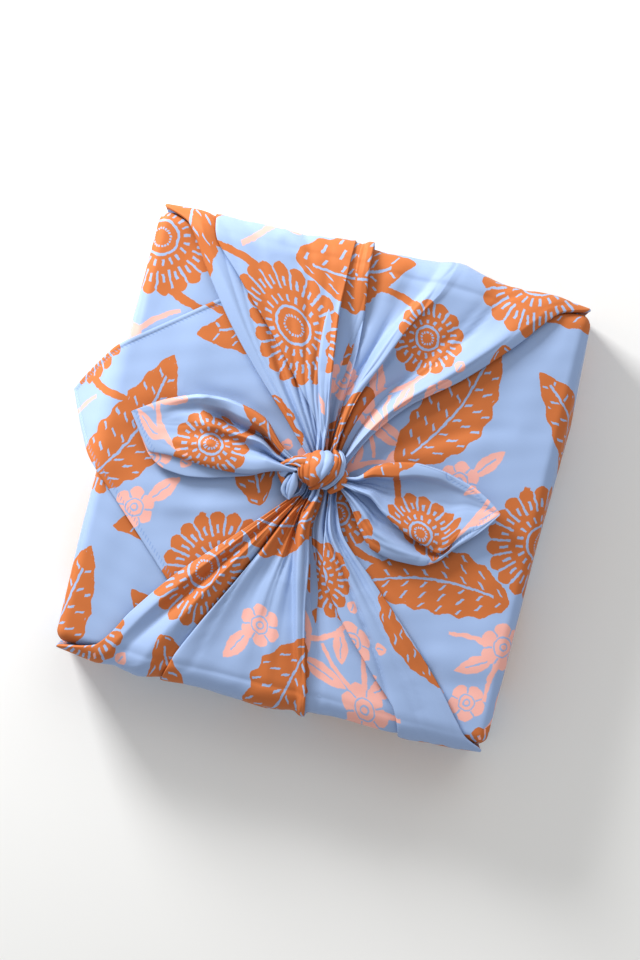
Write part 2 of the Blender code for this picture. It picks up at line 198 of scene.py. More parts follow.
def grid_quads(points, middle):
    """The quads of a grid of points (rows, columns, 3), turned so that they face away from the
    middle on the whole."""
    rows, columns = points.shape[:2]
    number = np.arange(rows * columns).reshape(rows, columns)
    corners = (number[:-1, :-1], number[:-1, 1:], number[1:, 1:], number[1:, :-1])
    faces = np.stack([c.ravel() for c in corners], 1)
    a, b, c, d = (points.reshape(-1, 3)[faces[:, i]] for i in range(4))
    outward = ((a + c) / 2 - middle) * np.cross(c - a, d - b)
    return faces[:, ::-1] if outward.sum() < 0 else faces


def cloth_piece(name, grids, middle=(0, 0, 0.03), thickness=0.0):
    """One mesh from one or more grids, with their places on the flat cloth and their hems."""
    starts = np.cumsum([0] + [grid.points[..., 0].size for grid in grids])
    faces = np.concatenate([grid_quads(g.points, middle) + n for g, n in zip(grids, starts)])
    mesh = bpy.data.meshes.new(name)
    mesh.from_pydata(np.concatenate([g.points.reshape(-1, 3) for g in grids]), [], faces)
    mesh.shade_smooth()
    corner = np.empty(len(mesh.loops), np.int32)
    mesh.loops.foreach_get("vertex_index", corner)
    flat = np.concatenate([g.flat.reshape(-1, 2) for g in grids])
    no_hem = [np.full(g.flat.shape, NO_HEM) if g.hem is None else g.hem for g in grids]
    hem = np.concatenate([h.reshape(-1, 2) for h in no_hem])
    for label, values in (("Cloth", flat), ("Hem", hem)):
        layer = mesh.uv_layers.new(name=label)
        layer.data.foreach_set("uv", values[corner].ravel())
    piece = bpy.data.objects.new(name, mesh)
    bpy.context.scene.collection.objects.link(piece)
    if thickness:
        solidify = piece.modifiers.new("thickness", "SOLIDIFY")
        solidify.thickness = thickness
        solidify.offset = 0
    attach(piece, "root")
    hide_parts("furoshiki_cloth")
    print(f"{name}: {len(mesh.vertices)} points, {len(mesh.polygons)} quads")
    return piece


def arc_length(points, axis):
    """The distance walked along one direction of a grid of points."""
    step = np.linalg.norm(np.diff(points, axis=axis), axis=-1)
    return np.concatenate([np.zeros_like(np.take(step, [0], axis)), np.cumsum(step, axis)], axis)


print("a step of 3 and 4 is", arc_length(np.array([[[0, 0, 0], [3, 4, 0]]]), 1)[0, 1], "long")

# %% [markdown]
# ## The base and the inside of the walls
# Under everything is a plain tray: the middle of the cloth, which lies on the floor, and the
# inside of the four walls. Little of it shows, but it closes the wrap at the foot and between
# the pleats. It could be a cube with rounded edges and no top, but one profile carried round a
# square with round corners gives an even grid in a few lines.

# %% The tray
HALF = 140 * MM
LEFT_FLAP_Z = 59.9 * MM
RIGHT_FLAP_Z = 61.4 * MM
PLEATS_Z = 61.7 * MM
SQUARENESS = 22.0


def tray():
    """Each point is a profile point (reach, height) times a place on a square with round corners:
    a superellipse, |x|^n + |y|^n = 1, where n is the squareness."""
    turn = np.linspace(0, 2 * pi, 241)
    reach = np.array([0.0, 30, 70, 110, 132, 135, 137.2, 138.3, 138.8, 138.8, 138.6, 138.4, 138.2])
    height = np.array([0.3, 0.3, 0.3, 0.3, 0.3, 0.45, 1.1, 2.2, 4.0, 15, 30, 45, 56.0])
    across = np.cos(turn)
    up = np.sin(turn)
    size = (np.abs(across) ** SQUARENESS + np.abs(up) ** SQUARENESS) ** (-1 / SQUARENESS)
    x = reach[:, None] * (across * size)[None] * MM
    y = reach[:, None] * (up * size)[None] * MM
    points = np.stack([x, y, np.broadcast_to(height[:, None] * MM, x.shape)], -1)
    out = arc_length(points, 0) / np.maximum(reach[:, None] * MM, 1e-6)
    stretch = np.where(reach[:, None] > 0, out / np.maximum(size[None], 1), 1)
    flat = points[..., :2] * stretch[..., None]
    return cloth_piece("base", [Grid(points, flat, None)], thickness=0.4 * MM)


base = tray()

# %% [markdown]
# ## Hems
# The cloth's edge is rolled over and whip-stitched. Seen from above, the hem is a low round
# ridge about 3 mm wide. The ridge is in the mesh, so that it shows at the outline too. The
# stitches are finer than the grid of points, and are added by the material.

# %% The ridge of a hem
HEM_WIDTH = 2.8 * MM
HEM_RISE = 0.45 * MM


def hem_height(distance):
    """rise * sin(pi * (0.2 + 0.8 * distance / width)) inside the hem, 0 beyond it: a ridge that is
    highest near the edge and comes down to the cloth on its inner side. Lengths in metres."""
    share = np.clip(distance / HEM_WIDTH, 0, 1)
    return HEM_RISE * np.sin(pi * (0.2 + 0.8 * share)) * (share < 1)


print("heights across the hem, metres:", hem_height(np.linspace(0, HEM_WIDTH, 5)).round(5))

# %% [markdown]
# ## The two corners that lie flat
# Each starts at the foot of its wall, climbs it, bends over the edge and crosses the top. Its
# sides turn down over the far and near edges, where the pleats cover them. The left one ends
# under the right one. The right one ends in the cloth's own corner, where two hems meet; it hangs
# past the left side and droops. A cloth simulation could lay them down, but wouldn't put the hems
# where they are wanted, so the cloth is carried along a path.

# %% Measures of the flat corners
# belly is how far the wall stands out from near to far, in millimetres. The hems are slopes: how
# fast the cloth gets wider behind its tip, on the far and on the near side.
Strip = namedtuple("Strip", "name sign height belly hem_far hem_near tip_y droop")
RIGHT = Strip("right_corner", 1, RIGHT_FLAP_Z, (2.0, 3.0, 4.0, 6.5, 2.0), 0.78, 0.94, 17 * MM, True)
LEFT = Strip("left_corner", -1, LEFT_FLAP_Z, (1.5, 2.5, 2.0, 3.5, 1.0), 1.0, 1.0, 0 * MM, False)
FLOOR_Z = 0.4 * MM
START_OUT = 130.0 * MM
FOOT_RUN = 7 * MM
FOOT_BEND = 3.2 * MM
EDGE_BEND = 6.0 * MM
SIDE_BEND = 7.0 * MM
SIDE_TURNED_DOWN = 146 * MM
OVERHANG = 52 * MM
DROOP_BEND = 14 * MM
DROOP_TURN = 53
TIP_TURN = 8
LEFT_LENGTH = 200 * MM
RIGHT_LENGTH = 271 * MM
print("cloth from the right edge to the tip:", round((RIGHT_LENGTH + OVERHANG) / MM), "mm")

# %% Creases of the flat corners
TOP_CREASES = (
    Crease(5, -1.4, ((16, 14), (48, 34), (84, 52), (112, 60))),
    Crease(4, 1.1, ((14, 20), (44, 44), (70, 62))),
    Crease(4, -1.2, ((24, -30), (48, -52), (70, -66))),
    Crease(5, 1.2, ((20, -40), (40, -66), (62, -84))),
    Crease(5, -1.0, ((-24, 22), (-60, 34), (-100, 36))),
    Crease(5, 1.0, ((-26, -20), (-58, -34), (-96, -44))),
    Crease(9, 1.3, ((62, -88), (90, -94), (118, -92), (140, -84))),
    Crease(7, -0.9, ((60, -100), (92, -106), (122, -108), (141, -104))),
    Crease(12, 1.0, ((30, 20), (70, 40), (110, 52), (139, 55))),
    Crease(10, -0.8, ((20, -2), (60, -52), (100, -60), (139, -50))),
    Crease(9, 0.8, ((128, 128), (118, 96), (120, 60))),
    Crease(8, 0.9, ((134, -138), (120, -118), (96, -104))),
    Crease(14, 0.9, ((-20, 20), (-70, 60), (-128, 70))),
    Crease(10, 0.7, ((-20, -14), (-70, -40), (-139, -20))),
    Crease(10, -0.6, ((-30, -24), (-90, -52), (-139, -60))),
)
print(len(TOP_CREASES), "creases on the top")


# %% Folding the flat corners
def flat_corner(strip, rows=232, columns=204):
    """A point is the path's point at length a, moved by y across it, and out along the normal by
    belly, creases and hem. Past the far and near edges it turns down: y = edge + bend *
    sin(angle), and it sinks by bend * (1 - cos(angle)) as far as a quarter turn, then straight."""
    climb = strip.height - FLOOR_Z - FOOT_BEND - EDGE_BEND
    legs = [(FOOT_RUN, 0), (FOOT_BEND * pi / 2, 90), (climb, 0), (EDGE_BEND * pi / 2, 90)]
    if strip.droop:
        legs += [(RIGHT_LENGTH, 0), (DROOP_BEND, DROOP_TURN), (OVERHANG - DROOP_BEND, TIP_TURN)]
    else:
        legs += [(LEFT_LENGTH, 0)]
    path = walk((START_OUT, FLOOR_Z), legs)
    end = path[0][-1]
    a = np.linspace(0, end, rows)
    far = np.minimum(SIDE_TURNED_DOWN, strip.tip_y + strip.hem_far * (end - a) + 0.2 * MM)
    near = np.maximum(-SIDE_TURNED_DOWN, strip.tip_y - strip.hem_near * (end - a) - 0.2 * MM)
    even = np.linspace(0, 1, columns)
    share = 0.35 * even + 0.65 * (1 - np.cos(pi * even)) / 2
    across = near[:, None] + (far - near)[:, None] * share
    place, normal = along_path(path, a)
    edge = HALF - SIDE_BEND
    past = np.clip((np.abs(across) - edge) / SIDE_BEND, 0, None)
    turned = np.minimum(past, pi / 2)
    y = np.sign(across) * (np.minimum(np.abs(across), edge) + SIDE_BEND * np.sin(turned))
    sink = SIDE_BEND * (1 - np.cos(turned)) + SIDE_BEND * (past - turned)
    level = np.clip(place[:, 1] / strip.height, 0, 1)
    belly = np.interp(y / HALF, np.linspace(-1, 1, 5), strip.belly) * MM
    belly = belly * np.sin(pi * level)[:, None]
    on_wall = eased(place[:, 0], 138 * MM, 139.5 * MM)[:, None]
    out = belly * on_wall - sink
    on_top = np.clip(normal[:, 1], 0, 1)[:, None]
    x_mm, y_mm = place[:, :1] / MM * np.ones_like(y), y / MM
    soft = crease_height(x_mm * strip.sign, y_mm, TOP_CREASES)
    soft = soft + unevenness(x_mm, y_mm + 300 * on_wall, seed=5)
    above_foot = eased(a, 9 * MM, 26 * MM)[:, None]
    out = out + soft * np.clip(1 - past, 0, 1) * (0.4 + 0.6 * on_top) * above_foot
    flat = np.stack([START_OUT + a[:, None] + 0 * across, across], -1)
    hem = None
    if strip.droop:
        tip = START_OUT + end
        side = SIDE_TURNED_DOWN + 10 * MM
        far_start = (tip - (side - strip.tip_y) / strip.hem_far, side)
        near_start = (tip - (side + strip.tip_y) / strip.hem_near, -side)
        hems = (far_start, (tip, strip.tip_y), near_start)
        distance, along, _ = nearest_on_line(flat[..., 0], flat[..., 1], hems)
        hem = np.stack([along, distance], -1)
        out = out + hem_height(distance)
    points = np.empty((rows, columns, 3))
    points[..., 0] = (place[:, :1] + normal[:, :1] * out) * strip.sign
    points[..., 1] = y
    points[..., 2] = place[:, 1:] + normal[:, 1:] * out
    grid = Grid(points, flat * (strip.sign, 1), hem)
    return cloth_piece(strip.name, [grid], thickness=0.35 * MM)


left_corner = flat_corner(LEFT)
right_corner = flat_corner(RIGHT)

# %% [markdown]
# ## The two gathered corners
# The far and near corners come up their walls and are pulled together into pleats towards the
# knot. A section across them is a row of folds: knife pleats that lie one over the other, soft
# ridges, and at each side an edge that is turned under. Each fold is a row in a table, read at
# stations from the knot to the foot of the wall, and the sections are carried along the path
# over the edge and down. Gathering the cloth in a simulation would give folds too, but not these.

# %% Folds of the near corner
# Stations, in millimetres along the cloth from the middle of the top. x has a number for each
# place, and rise, depth and drop have one for each key.
PLACES = (12, 30, 55, 80, 110, 135, 145, 195)
KEYS = (12, 75, 135, 195)

# x is where the fold is. rise is its height above the flat corners, depth is how far a pleat is
# tucked back, and drop is how far the next panel lies below it. A pleat that is tucked right has
# its edge on its right, over the next panel. All in millimetres.
Fold = namedtuple("Fold", "kind x rise depth drop")
NONE = (0, 0, 0, 0)

NEAR_FOLDS = (
    Fold("left edge", (-13, -29, -52, -75, -97, -113, -139, -139.6),
         (7, 4.6, 3.2, 0.8), (4, 22, 26, 12), (2.5, 2.4, 2, 0.5)),
    Fold("line", (-11.5, -26, -46, -66, -88, -104, -112, -114), (8, 7.6, 4.9, 0.8), NONE, NONE),
    Fold("line", (-10.5, -23, -41, -58, -79, -95, -100, -104), (6.5, 1.6, 2.2, 0.8), NONE, NONE),
    Fold("line", (-10, -20.5, -35.5, -51, -68, -81, -86, -90), (10, 11.4, 6.2, 0.8), NONE, NONE),
    Fold("tucked left", (-9, -17, -28, -40, -55, -66, -69, -72),
         (9.5, 7.6, 4.6, 0.9), (1, 6, 4, -8), (6, 6.2, 3.4, 0.1)),
    Fold("line", (-7.5, -12, -18, -24, -30, -36, -38, -40), (6, 1.6, 1.8, 0.8), NONE, NONE),
    Fold("line", (-6.5, -10.5, -12, -11, -8, -4, -2, 0), (8, 5.4, 3.5, 0.8), NONE, NONE),
    Fold("line", (-6, -9.3, -6, 0, 8, 16, 18, 16), (5, 1.7, 1.8, 0.8), NONE, NONE),
    Fold("line", (-5, -8, -3.5, 2.5, 10.5, 19.5, 21, 20), (11, 9.5, 5.4, 0.8), NONE, NONE),
    Fold("tucked right", (0, -0.5, 4.5, 8.5, 15.5, 22.5, 24.5, 26),
         (12, 9.8, 6, 0.9), (1, 4, 3, -8), (7, 5.2, 4, 0.1)),
    Fold("line", (2, 3, 9, 15, 25, 38, 42, 44), (4, 0.8, 1, 0.8), NONE, NONE),
    Fold("line", (3, 4.8, 11.4, 26, 42, 54.5, 57, 60), (4.5, 2.3, 2.8, 0.8), NONE, NONE),
    Fold("tucked left", (6, 8.5, 13.5, 29, 57, 81, 85, 92),
         (11, 7.9, 5.2, 0.9), (1, 7, 5, -8), (6, 4.2, 3.2, 0.1)),
    Fold("line", (8, 12.5, 23, 42, 70, 98, 104, 110), (11.5, 8.9, 4.4, 0.8), NONE, NONE),
    Fold("line", (10, 16.5, 37, 62, 93, 117, 123, 126), (9.5, 8, 4.4, 0.8), NONE, NONE),
    Fold("right edge", (11.5, 19.5, 45.5, 73, 103, 125, 139, 139.6),
         (7, 4.2, 3.2, 0.8), (4, 20, 24, 12), (2.5, 2.4, 2, 0.5)),
)
print(len(NEAR_FOLDS), "folds in the near corner")

# %% Folds of the far corner
FAR_FOLDS = (
    Fold("left edge", (-14, -31.5, -57, -80, -103, -121, -139, -139.6),
         (7, 4.2, 3.2, 0.8), (4, 20, 24, 12), (2.5, 2.4, 2, 0.5)),
    Fold("line", (-12.5, -27, -49, -71, -94, -113, -118, -122), (9.5, 7.5, 4.7, 0.8), NONE, NONE),
    Fold("line", (-9.5, -17, -36, -57, -86, -108, -110, -112), (8, 5.4, 3.9, 0.8), NONE, NONE),
    Fold("tucked left", (-8, -12, -31, -53, -82, -104, -106, -110),
         (10.5, 7.5, 4.9, 0.9), (1, 3, 2, -8), (5, 3.4, 2.6, 0.1)),
    Fold("line", (-7, -9.5, -22, -36, -58, -78, -82, -86), (12, 8.3, 4.4, 0.8), NONE, NONE),
    Fold("line", (-5.5, -7.5, -15, -24, -38, -50, -52, -54), (10, 6.3, 3.7, 0.8), NONE, NONE),
    Fold("line", (-4.5, -6, -10.5, -14.5, -19, -24, -25, -26), (12, 9.5, 6.1, 0.8), NONE, NONE),
    Fold("tucked right", (-3.5, -4.6, -8.7, -12.2, -15.5, -16, -16, -16),
         (12.5, 11.2, 6.9, 0.9), (1, 10, 3, -10), (7, 6.2, 1.4, 0.1)),
    Fold("line", (-2.5, -2.5, -3.5, -4.5, -9, -11, -11, -10), (5.5, 1.3, 4.7, 0.8), NONE, NONE),
    Fold("line", (-1.8, -1.5, -0.5, 0, -4, -7.5, -8, -6), (6.5, 2.3, 7.4, 0.8), NONE, NONE),
    Fold("tucked right", (-1, -0.5, 1, 2, 0, -3.5, -4, -2),
         (7, 3.7, 7.7, 0.9), (1, 1.5, 9, -8), (1, 1.2, 5, 0.1)),
    Fold("line", (-0.5, 0.2, 3.5, 9.5, 22, 34, 38, 42), (6, 1.7, 2.6, 0.8), NONE, NONE),
    Fold("line", (0, 1.2, 5.5, 13.5, 26, 41, 46, 50), (11.5, 10.9, 6.1, 0.8), NONE, NONE),
    Fold("tucked right", (3, 4.5, 9.5, 19.5, 32, 46, 50, 56),
         (12.5, 11.8, 6.1, 0.9), (1, 3.5, -4, -8), (7, 6.2, 1.2, 0.1)),
    Fold("line", (5, 9, 20, 37, 58, 76, 80, 84), (5, 1.3, 1.8, 0.8), NONE, NONE),
    Fold("line", (9, 18, 35, 60, 88, 110, 117, 122), (11, 10.7, 5.9, 0.8), NONE, NONE),
    Fold("right edge", (12.5, 21.5, 40, 69.5, 98, 119, 139, 139.6),
         (7, 5.5, 4, 0.8), (5, 22, 24, 12), (3.5, 3.4, 2.6, 0.5)),
)
print(len(FAR_FOLDS), "folds in the far corner")

# How far the far and near walls stand out, from left to right, in millimetres
BELLY_MM = {
    "near": (0.0, 3.5, 6.5, 5.0, 7.0, 7.5, 5.0, 1.5, 4.0, 2.0, 0.0),
    "far": (0.0, 1.0, 2.0, 2.5, 5.0, 5.5, 7.0, 9.0, 4.0, 1.5, 0.0),
}

# %% [markdown]
# ### One fold of a section
# A knife pleat is an S: over the top, round the fold, back underneath, round again and on. Where
# it opens out towards the foot it turns by degrees into a straight slope. A side edge is a
# half circle, with a strip of cloth turned under it. Both are drawn as points of half circles.

# %% Fold shapes
ARC = np.linspace(0, pi, 9)


def fold_section(fold, at):
    """Points (x, rise) of one fold at each length, as an array (lengths, points, 2), in order from
    left to right along the cloth, in millimetres. Each half circle is x + bend * sin(angle), rise -
    bend + bend * cos(angle). The S and a slope are mixed by how far the pleat is closed."""
    x = through(PLACES, fold.x, at)[:, None]
    rise, depth, drop = (through(KEYS, v, at)[:, None] for v in (fold.rise, fold.depth, fold.drop))
    if fold.kind == "line":
        return np.stack([x, rise], -1)
    way = 1 if fold.kind in ("left edge", "tucked right") else -1
    if "edge" in fold.kind:
        bend = drop / 2
        arc_x = x + way * bend * (1 - np.sin(ARC))
        arc_z = rise - bend + bend * np.cos(ARC)
        hidden = x + way * (bend + (depth - bend) * np.array([0.66, 0.33]))
        line_x = np.concatenate([arc_x, hidden[:, ::-1]], 1)
        line_z = np.concatenate([arc_z, np.repeat(rise - drop, 2, 1)], 1)
        section = np.stack([line_x, line_z], -1)
        return section[:, ::-1] if way > 0 else section
    bend = np.minimum(drop * 0.28, 1.1)
    lower = drop / 2 - bend
    reach = np.maximum(depth, bend + lower)
    over = (x - way * bend + way * bend * np.sin(ARC), rise - bend + bend * np.cos(ARC))
    back = x - way * (reach - lower) - way * lower * np.sin(ARC)
    under = (back, rise - 2 * bend - lower + lower * np.cos(ARC))
    s_shape = np.stack([np.concatenate([p, q], 1) for p, q in zip(over, under)], -1)
    share = np.linspace(0, 1, s_shape.shape[1])
    slope = np.stack([x - way * depth * share, rise - drop * share], -1)
    closed = np.clip(np.minimum(drop / 2.4, depth / 2.4), 0, 1)[..., None]
    section = closed * s_shape + (1 - closed) * slope
    return section if way > 0 else section[:, ::-1]


print("a tuck at 75 mm:", fold_section(NEAR_FOLDS[4], np.array([75.0]))[0, ::4].round(1).tolist())

# %% [markdown]
# ### Joining the folds into a section
# Between two folds the panel of cloth is filled in with evenly spaced points. A few rounds of
# averaging with the neighbours then soften the panels and the ridges, while the fold edges, which
# a hand has pressed, keep their shape.

# %% Sections of a gathered corner
def gathered_sections(folds, at, between=11, rounds=4):
    """(x, rise) for every length and column. Each round moves a free point to the mean of itself
    and the middle of its two neighbours."""
    columns, free = [], []
    for number, fold in enumerate(folds):
        section = fold_section(fold, at)
        if number:
            share = (np.arange(1, between + 1) / (between + 1))[None, :, None]
            columns.append(columns[-1][:, -1:] * (1 - share) + section[:, :1] * share)
            free += [1.0] * between
        columns.append(section)
        free += [1.0 if fold.kind == "line" else 0.0] * section.shape[1]
    section = np.concatenate(columns, 1)
    free = np.array(free)[None, 1:-1, None]
    for _ in range(rounds):
        middle = (section[:, :-2] + section[:, 2:]) / 2
        section[:, 1:-1] += free * 0.5 * (middle - section[:, 1:-1])
    return section


print("lengths, columns and numbers:", gathered_sections(FAR_FOLDS, np.array(PLACES, float)).shape)

# %% Creases of the gathered corners
GATHER_CREASES = {
    "near": (
        Crease(5, -1.0, ((-28, -60), (-34, -90), (-44, -128))),
        Crease(6, 0.9, ((-14, -40), (-20, -84), (-24, -130))),
        Crease(5, -0.8, ((-6, -70), (-4, -104), (2, -136))),
        Crease(7, 0.8, ((40, -62), (66, -92), (92, -128))),
        Crease(5, -0.7, ((30, -46), (52, -78), (80, -112))),
        Crease(4, 0.7, ((-50, -58), (-80, -96), (-106, -126))),
        Crease(3, -0.6, ((-62, -80), (-84, -110), (-100, -134))),
    ),
    "far": (
        Crease(4, 0.9, ((-66, 143), (-56, 140), (-46, 133))),
        Crease(3, -1.2, ((-62, 138), (-52, 134), (-44, 124))),
        Crease(9, 1.3, ((38, 92), (58, 112), (74, 134))),
        Crease(7, -1.2, ((54, 96), (72, 110), (88, 132))),
        Crease(8, 1.0, ((66, 86), (88, 108), (106, 132))),
        Crease(5, -0.8, ((-24, 50), (-44, 88), (-66, 128))),
        Crease(6, 0.8, ((-12, 56), (-26, 96), (-40, 134))),
        Crease(5, 0.7, ((10, 118), (14, 130), (16, 142))),
        Crease(4, -0.6, ((22, 120), (26, 132), (28, 143))),
    ),
}
print({side: len(creases) for side, creases in GATHER_CREASES.items()}, "creases")

# %% [markdown]
# ### Carrying the sections over the edge
# The path runs out over the top, rounds the edge in two bends, a slow one and a quicker one, and
# goes down the wall to the foot. Near the knot the cloth is bunched, so sharp creases run out of
# it, deepest where it is narrowest. The creases fade out again before the foot.

# %% Gathering the near and far corners
FIRST_SECTION = 6 * MM
TOP_RUN = 130 * MM
RIM_BENDS = [(12 * MM, -50), (5.5 * MM, -40)]
RIM_DEPTH = 10.0 * MM
FOOT_TAIL = 4 * MM
FLAT_START = 137 * MM


def gathered_corner(side, folds, rows=224):
    """A point is the path's point at length a, moved x sideways, and along the normal by its rise,
    the wall's belly and the creases."""
    sign = -1 if side == "near" else 1
    climb = PLEATS_Z - FLOOR_Z - FOOT_BEND - RIM_DEPTH
    legs = [(TOP_RUN, 0)] + RIM_BENDS + [(climb, 0), (FOOT_BEND * pi / 2, -90), (FOOT_TAIL, 0)]
    lengths, points, normals = walk((0, PLEATS_Z), legs)
    path = lengths, points, -normals
    a = np.linspace(FIRST_SECTION, lengths[-1], rows)
    section = gathered_sections(folds, a / MM) * MM
    place, normal = along_path(path, a)
    x, rise = section[..., 0], section[..., 1]
    belly = np.interp(x / HALF, np.linspace(-1, 1, 11), BELLY_MM[side]) * MM
    down = np.clip((a - 135 * MM) / (60 * MM), 0, 1)
    rise = rise * (1 - eased(a, 190 * MM, 199 * MM) * 0.8)[:, None]
    soft = crease_height(x / MM, sign * a[:, None] / MM, GATHER_CREASES[side])
    soft = soft + unevenness(x / MM, a[:, None] / MM, seed=11 if sign > 0 else 23, size=0.2)
    soft = soft * eased(lengths[-1] - a, 10 * MM, 26 * MM)[:, None]
    out = rise + belly * (np.sin(pi * down) ** 0.7)[:, None]
    out = out + soft * eased(a, 20 * MM, 50 * MM)[:, None]
    width = x.max(1, keepdims=True) - x.min(1, keepdims=True)
    share = (x - x.min(1, keepdims=True)) / width
    out = out + pulled_creases(share, width / MM, a[:, None] / MM,
                               seed=31 + sign, count=34, deepest=2.8, longest=150)
    pulled_in = 1 - 0.08 * (1 - eased(a, FIRST_SECTION, 14 * MM))[:, None]
    points = np.empty(section.shape[:2] + (3,))
    points[..., 0] = x * pulled_in
    points[..., 1] = sign * (place[:, :1] + normal[:, :1] * out)
    points[..., 2] = place[:, 1:] + normal[:, 1:] * out
    across = arc_length(points, 1)
    middle = section.shape[1] // 2
    across = across - across[:, middle:middle + 1] + x[-1, middle]
    away = FLAT_START + lengths[-1] - a[:, None] + 0 * across
    grid = Grid(points, np.stack([across, sign * away], -1), None)
    return cloth_piece(f"{side}_corner", [grid])


near_corner = gathered_corner("near", NEAR_FOLDS)
far_corner = gathered_corner("far", FAR_FOLDS)

# %% [markdown]
# ## The knot's two ends
# Each end is the tip of a gathered corner, which leaves the knot as a narrow strand and spreads
# into a leaf. The right one is a cup with a turned-over upper rim and a lower lobe, the left one
# a doubled panel with a short hemmed end. They could be sculpted, but listed sections,
# with smooth curves through them both ways, can be changed point by point. A few dents and puffs
# are added on top.

# %% The right end's sections
# x of the section, then y and height above the flat corners for each of its points, millimetres
RIGHT_END = (
    (12, (3.8, 8), (3.6, 10.5), (2.8, 11), (2, 8.5), (1.2, 10), (0.2, 10.5), (-0.8, 12),
     (-1.5, 11), (-1, 8), (-2, 8), (-3, 9.5), (-4.2, 8.5), (-4, 6.5)),
    (20, (5.5, 8), (5.2, 11.5), (3.9, 11.5), (2.4, 5), (1, 8), (-0.6, 10), (-2.2, 12.5),
     (-3.2, 11), (-2, 6), (-4, 6.5), (-8, 10), (-12, 7.5), (-11, 4.5)),
    (30, (15, 8.5), (14.2, 13), (9.6, 13.2), (6.4, 3.2), (3, 5), (-0.5, 9.5), (-3.2, 13.5),
     (-4.6, 11.5), (-2.2, 3), (-8, 4), (-16, 10.5), (-26, 6.5), (-24, 3.5)),
    (41, (20.3, 9), (19.4, 13.2), (11.4, 13.4), (7.6, 3.4), (2.6, 4.4), (-4, 8.5), (-10, 13.5),
     (-12, 11.5), (-8.5, 2.6), (-16, 4), (-27, 10), (-36.5, 5.5), (-34, 3.2)),
    (58, (23.3, 9.5), (22.4, 12.4), (16.4, 12), (11.8, 4.2), (4.6, 4.2), (-8, 7.5), (-18.5, 12.8),
     (-21.3, 10.8), (-17, 2.6), (-24, 4), (-32, 8.8), (-39.6, 5), (-37, 3.2)),
    (71, (22.5, 9.5), (21.4, 11.8), (17.5, 11), (12, 5.6), (4, 4.6), (-9, 6.8), (-22.5, 11.4),
     (-25.8, 9.5), (-22.5, 3.2), (-28, 4.4), (-34, 7.8), (-39.2, 5), (-37, 3.4)),
    (81, (20.3, 9.2), (19.2, 10.4), (15.5, 9.8), (11, 6.2), (3, 5), (-9, 6.4), (-23.5, 9),
     (-28.5, 8), (-26.5, 4.4), (-30, 5), (-32.5, 6.6), (-34.8, 5.4), (-33, 4.2)),
    (92, (17.3, 9.8), (16.2, 10.3), (13, 9.9), (9, 8), (3, 7), (-5, 7.4), (-12.5, 8.8),
     (-15.5, 8.2), (-16, 7.4), (-17.5, 7.4), (-19.5, 7.4), (-22, 6.6), (-21.4, 5.8)),
    (104, (11.5, 10.8), (10.8, 11), (9, 10.8), (7, 10.1), (4, 9.6), (0, 9.6), (-4, 10),
     (-5.5, 9.8), (-6.2, 9.5), (-7, 9.4), (-8, 9.2), (-9.2, 8.8), (-8.8, 8.2)),
    (113, (5, 12.6), (4.95, 12.6), (4.85, 12.6), (4.8, 12.5), (4.7, 12.5), (4.6, 12.5), (4.5, 12.5),
     (4.45, 12.5), (4.4, 12.5), (4.3, 12.5), (4.2, 12.5), (4.1, 12.4), (4, 12.2)),
)
print(len(RIGHT_END), "sections of", len(RIGHT_END[0]) - 1, "points")

# %% The left end's sections
LEFT_END = (
    (-18, (5.5, 9), (5, 12), (4, 12.5), (3.2, 8.5), (2.4, 12), (1.4, 10.5), (0.4, 12.5),
     (-0.8, 11), (-1.2, 8.5), (-0.4, 7.5), (-0.6, 7), (-1, 6.5), (-0.5, 6)),
    (-30, (13.6, 8.5), (12.8, 13), (10.4, 13.5), (7.5, 4.5), (5.5, 12.5), (3.6, 6), (1.4, 13),
     (-1.6, 12), (-3, 9), (-0.5, 6), (-1, 5.6), (-2.2, 5.4), (-1.6, 4.6)),
    (-45, (28, 9), (26.6, 13.5), (22, 14), (16.5, 4), (12.5, 13.5), (8, 6.5), (2, 13.5),
     (-5.5, 12.8), (-8.6, 9.2), (-4, 5.6), (-6, 5.6), (-9.6, 5.2), (-8.6, 4)),
    (-58, (32, 9.5), (30.4, 13.5), (25, 13.5), (18.5, 3.6), (13.5, 13.5), (8.5, 6.5), (1, 13.2),
     (-7.2, 12.4), (-10.4, 8.8), (-5, 5.4), (-8, 5.4), (-13.6, 5), (-12.4, 3.6)),
    (-72, (33.8, 9.5), (32, 12.8), (27.5, 11.5), (22, 3.8), (15, 11.6), (9, 7), (2, 12),
     (-7.4, 11.2), (-10.8, 8.2), (-5, 5.2), (-9, 5.4), (-17.6, 4.8), (-16.2, 3.6)),
    (-86, (32.6, 9.2), (30.6, 11.2), (27.5, 9), (23, 5.6), (15, 9), (8, 7.8), (0, 10.2),
     (-7, 9.8), (-9.8, 7.6), (-5, 5.2), (-10, 5.4), (-19.6, 4.8), (-18.2, 3.8)),
    (-98, (28.6, 9), (26.4, 9.8), (23.5, 8.6), (19.5, 6.8), (13, 7.8), (6, 7.8), (-1, 8.9),
     (-7, 8.5), (-9.4, 7.2), (-5, 5.4), (-10, 5.4), (-18.6, 5), (-17.4, 4.2)),
    (-109, (23.6, 8.4), (21, 8.8), (18, 8.4), (14, 7.8), (9, 7.7), (4, 7.9), (-2, 8),
     (-7.6, 7.6), (-10, 6.8), (-6, 5.6), (-8.6, 5.6), (-13, 5.2), (-12, 4.6)),
    (-118, (18, 8), (16.4, 8.2), (14.4, 8.2), (12, 8), (9, 7.9), (6.4, 7.8), (4, 7.7),
     (1.6, 7.6), (-0.4, 7.2), (0.6, 6.4), (0, 6.2), (-1.2, 6), (-0.6, 5.4)),
    (-127, (11.8, 7.9), (11.76, 7.9), (11.72, 7.9), (11.68, 7.9), (11.64, 7.8), (11.6, 7.8),
     (11.56, 7.8), (11.52, 7.8), (11.48, 7.7), (11.44, 7.6), (11.4, 7.6), (11.36, 7.6),
     (11.3, 7.5)),
)
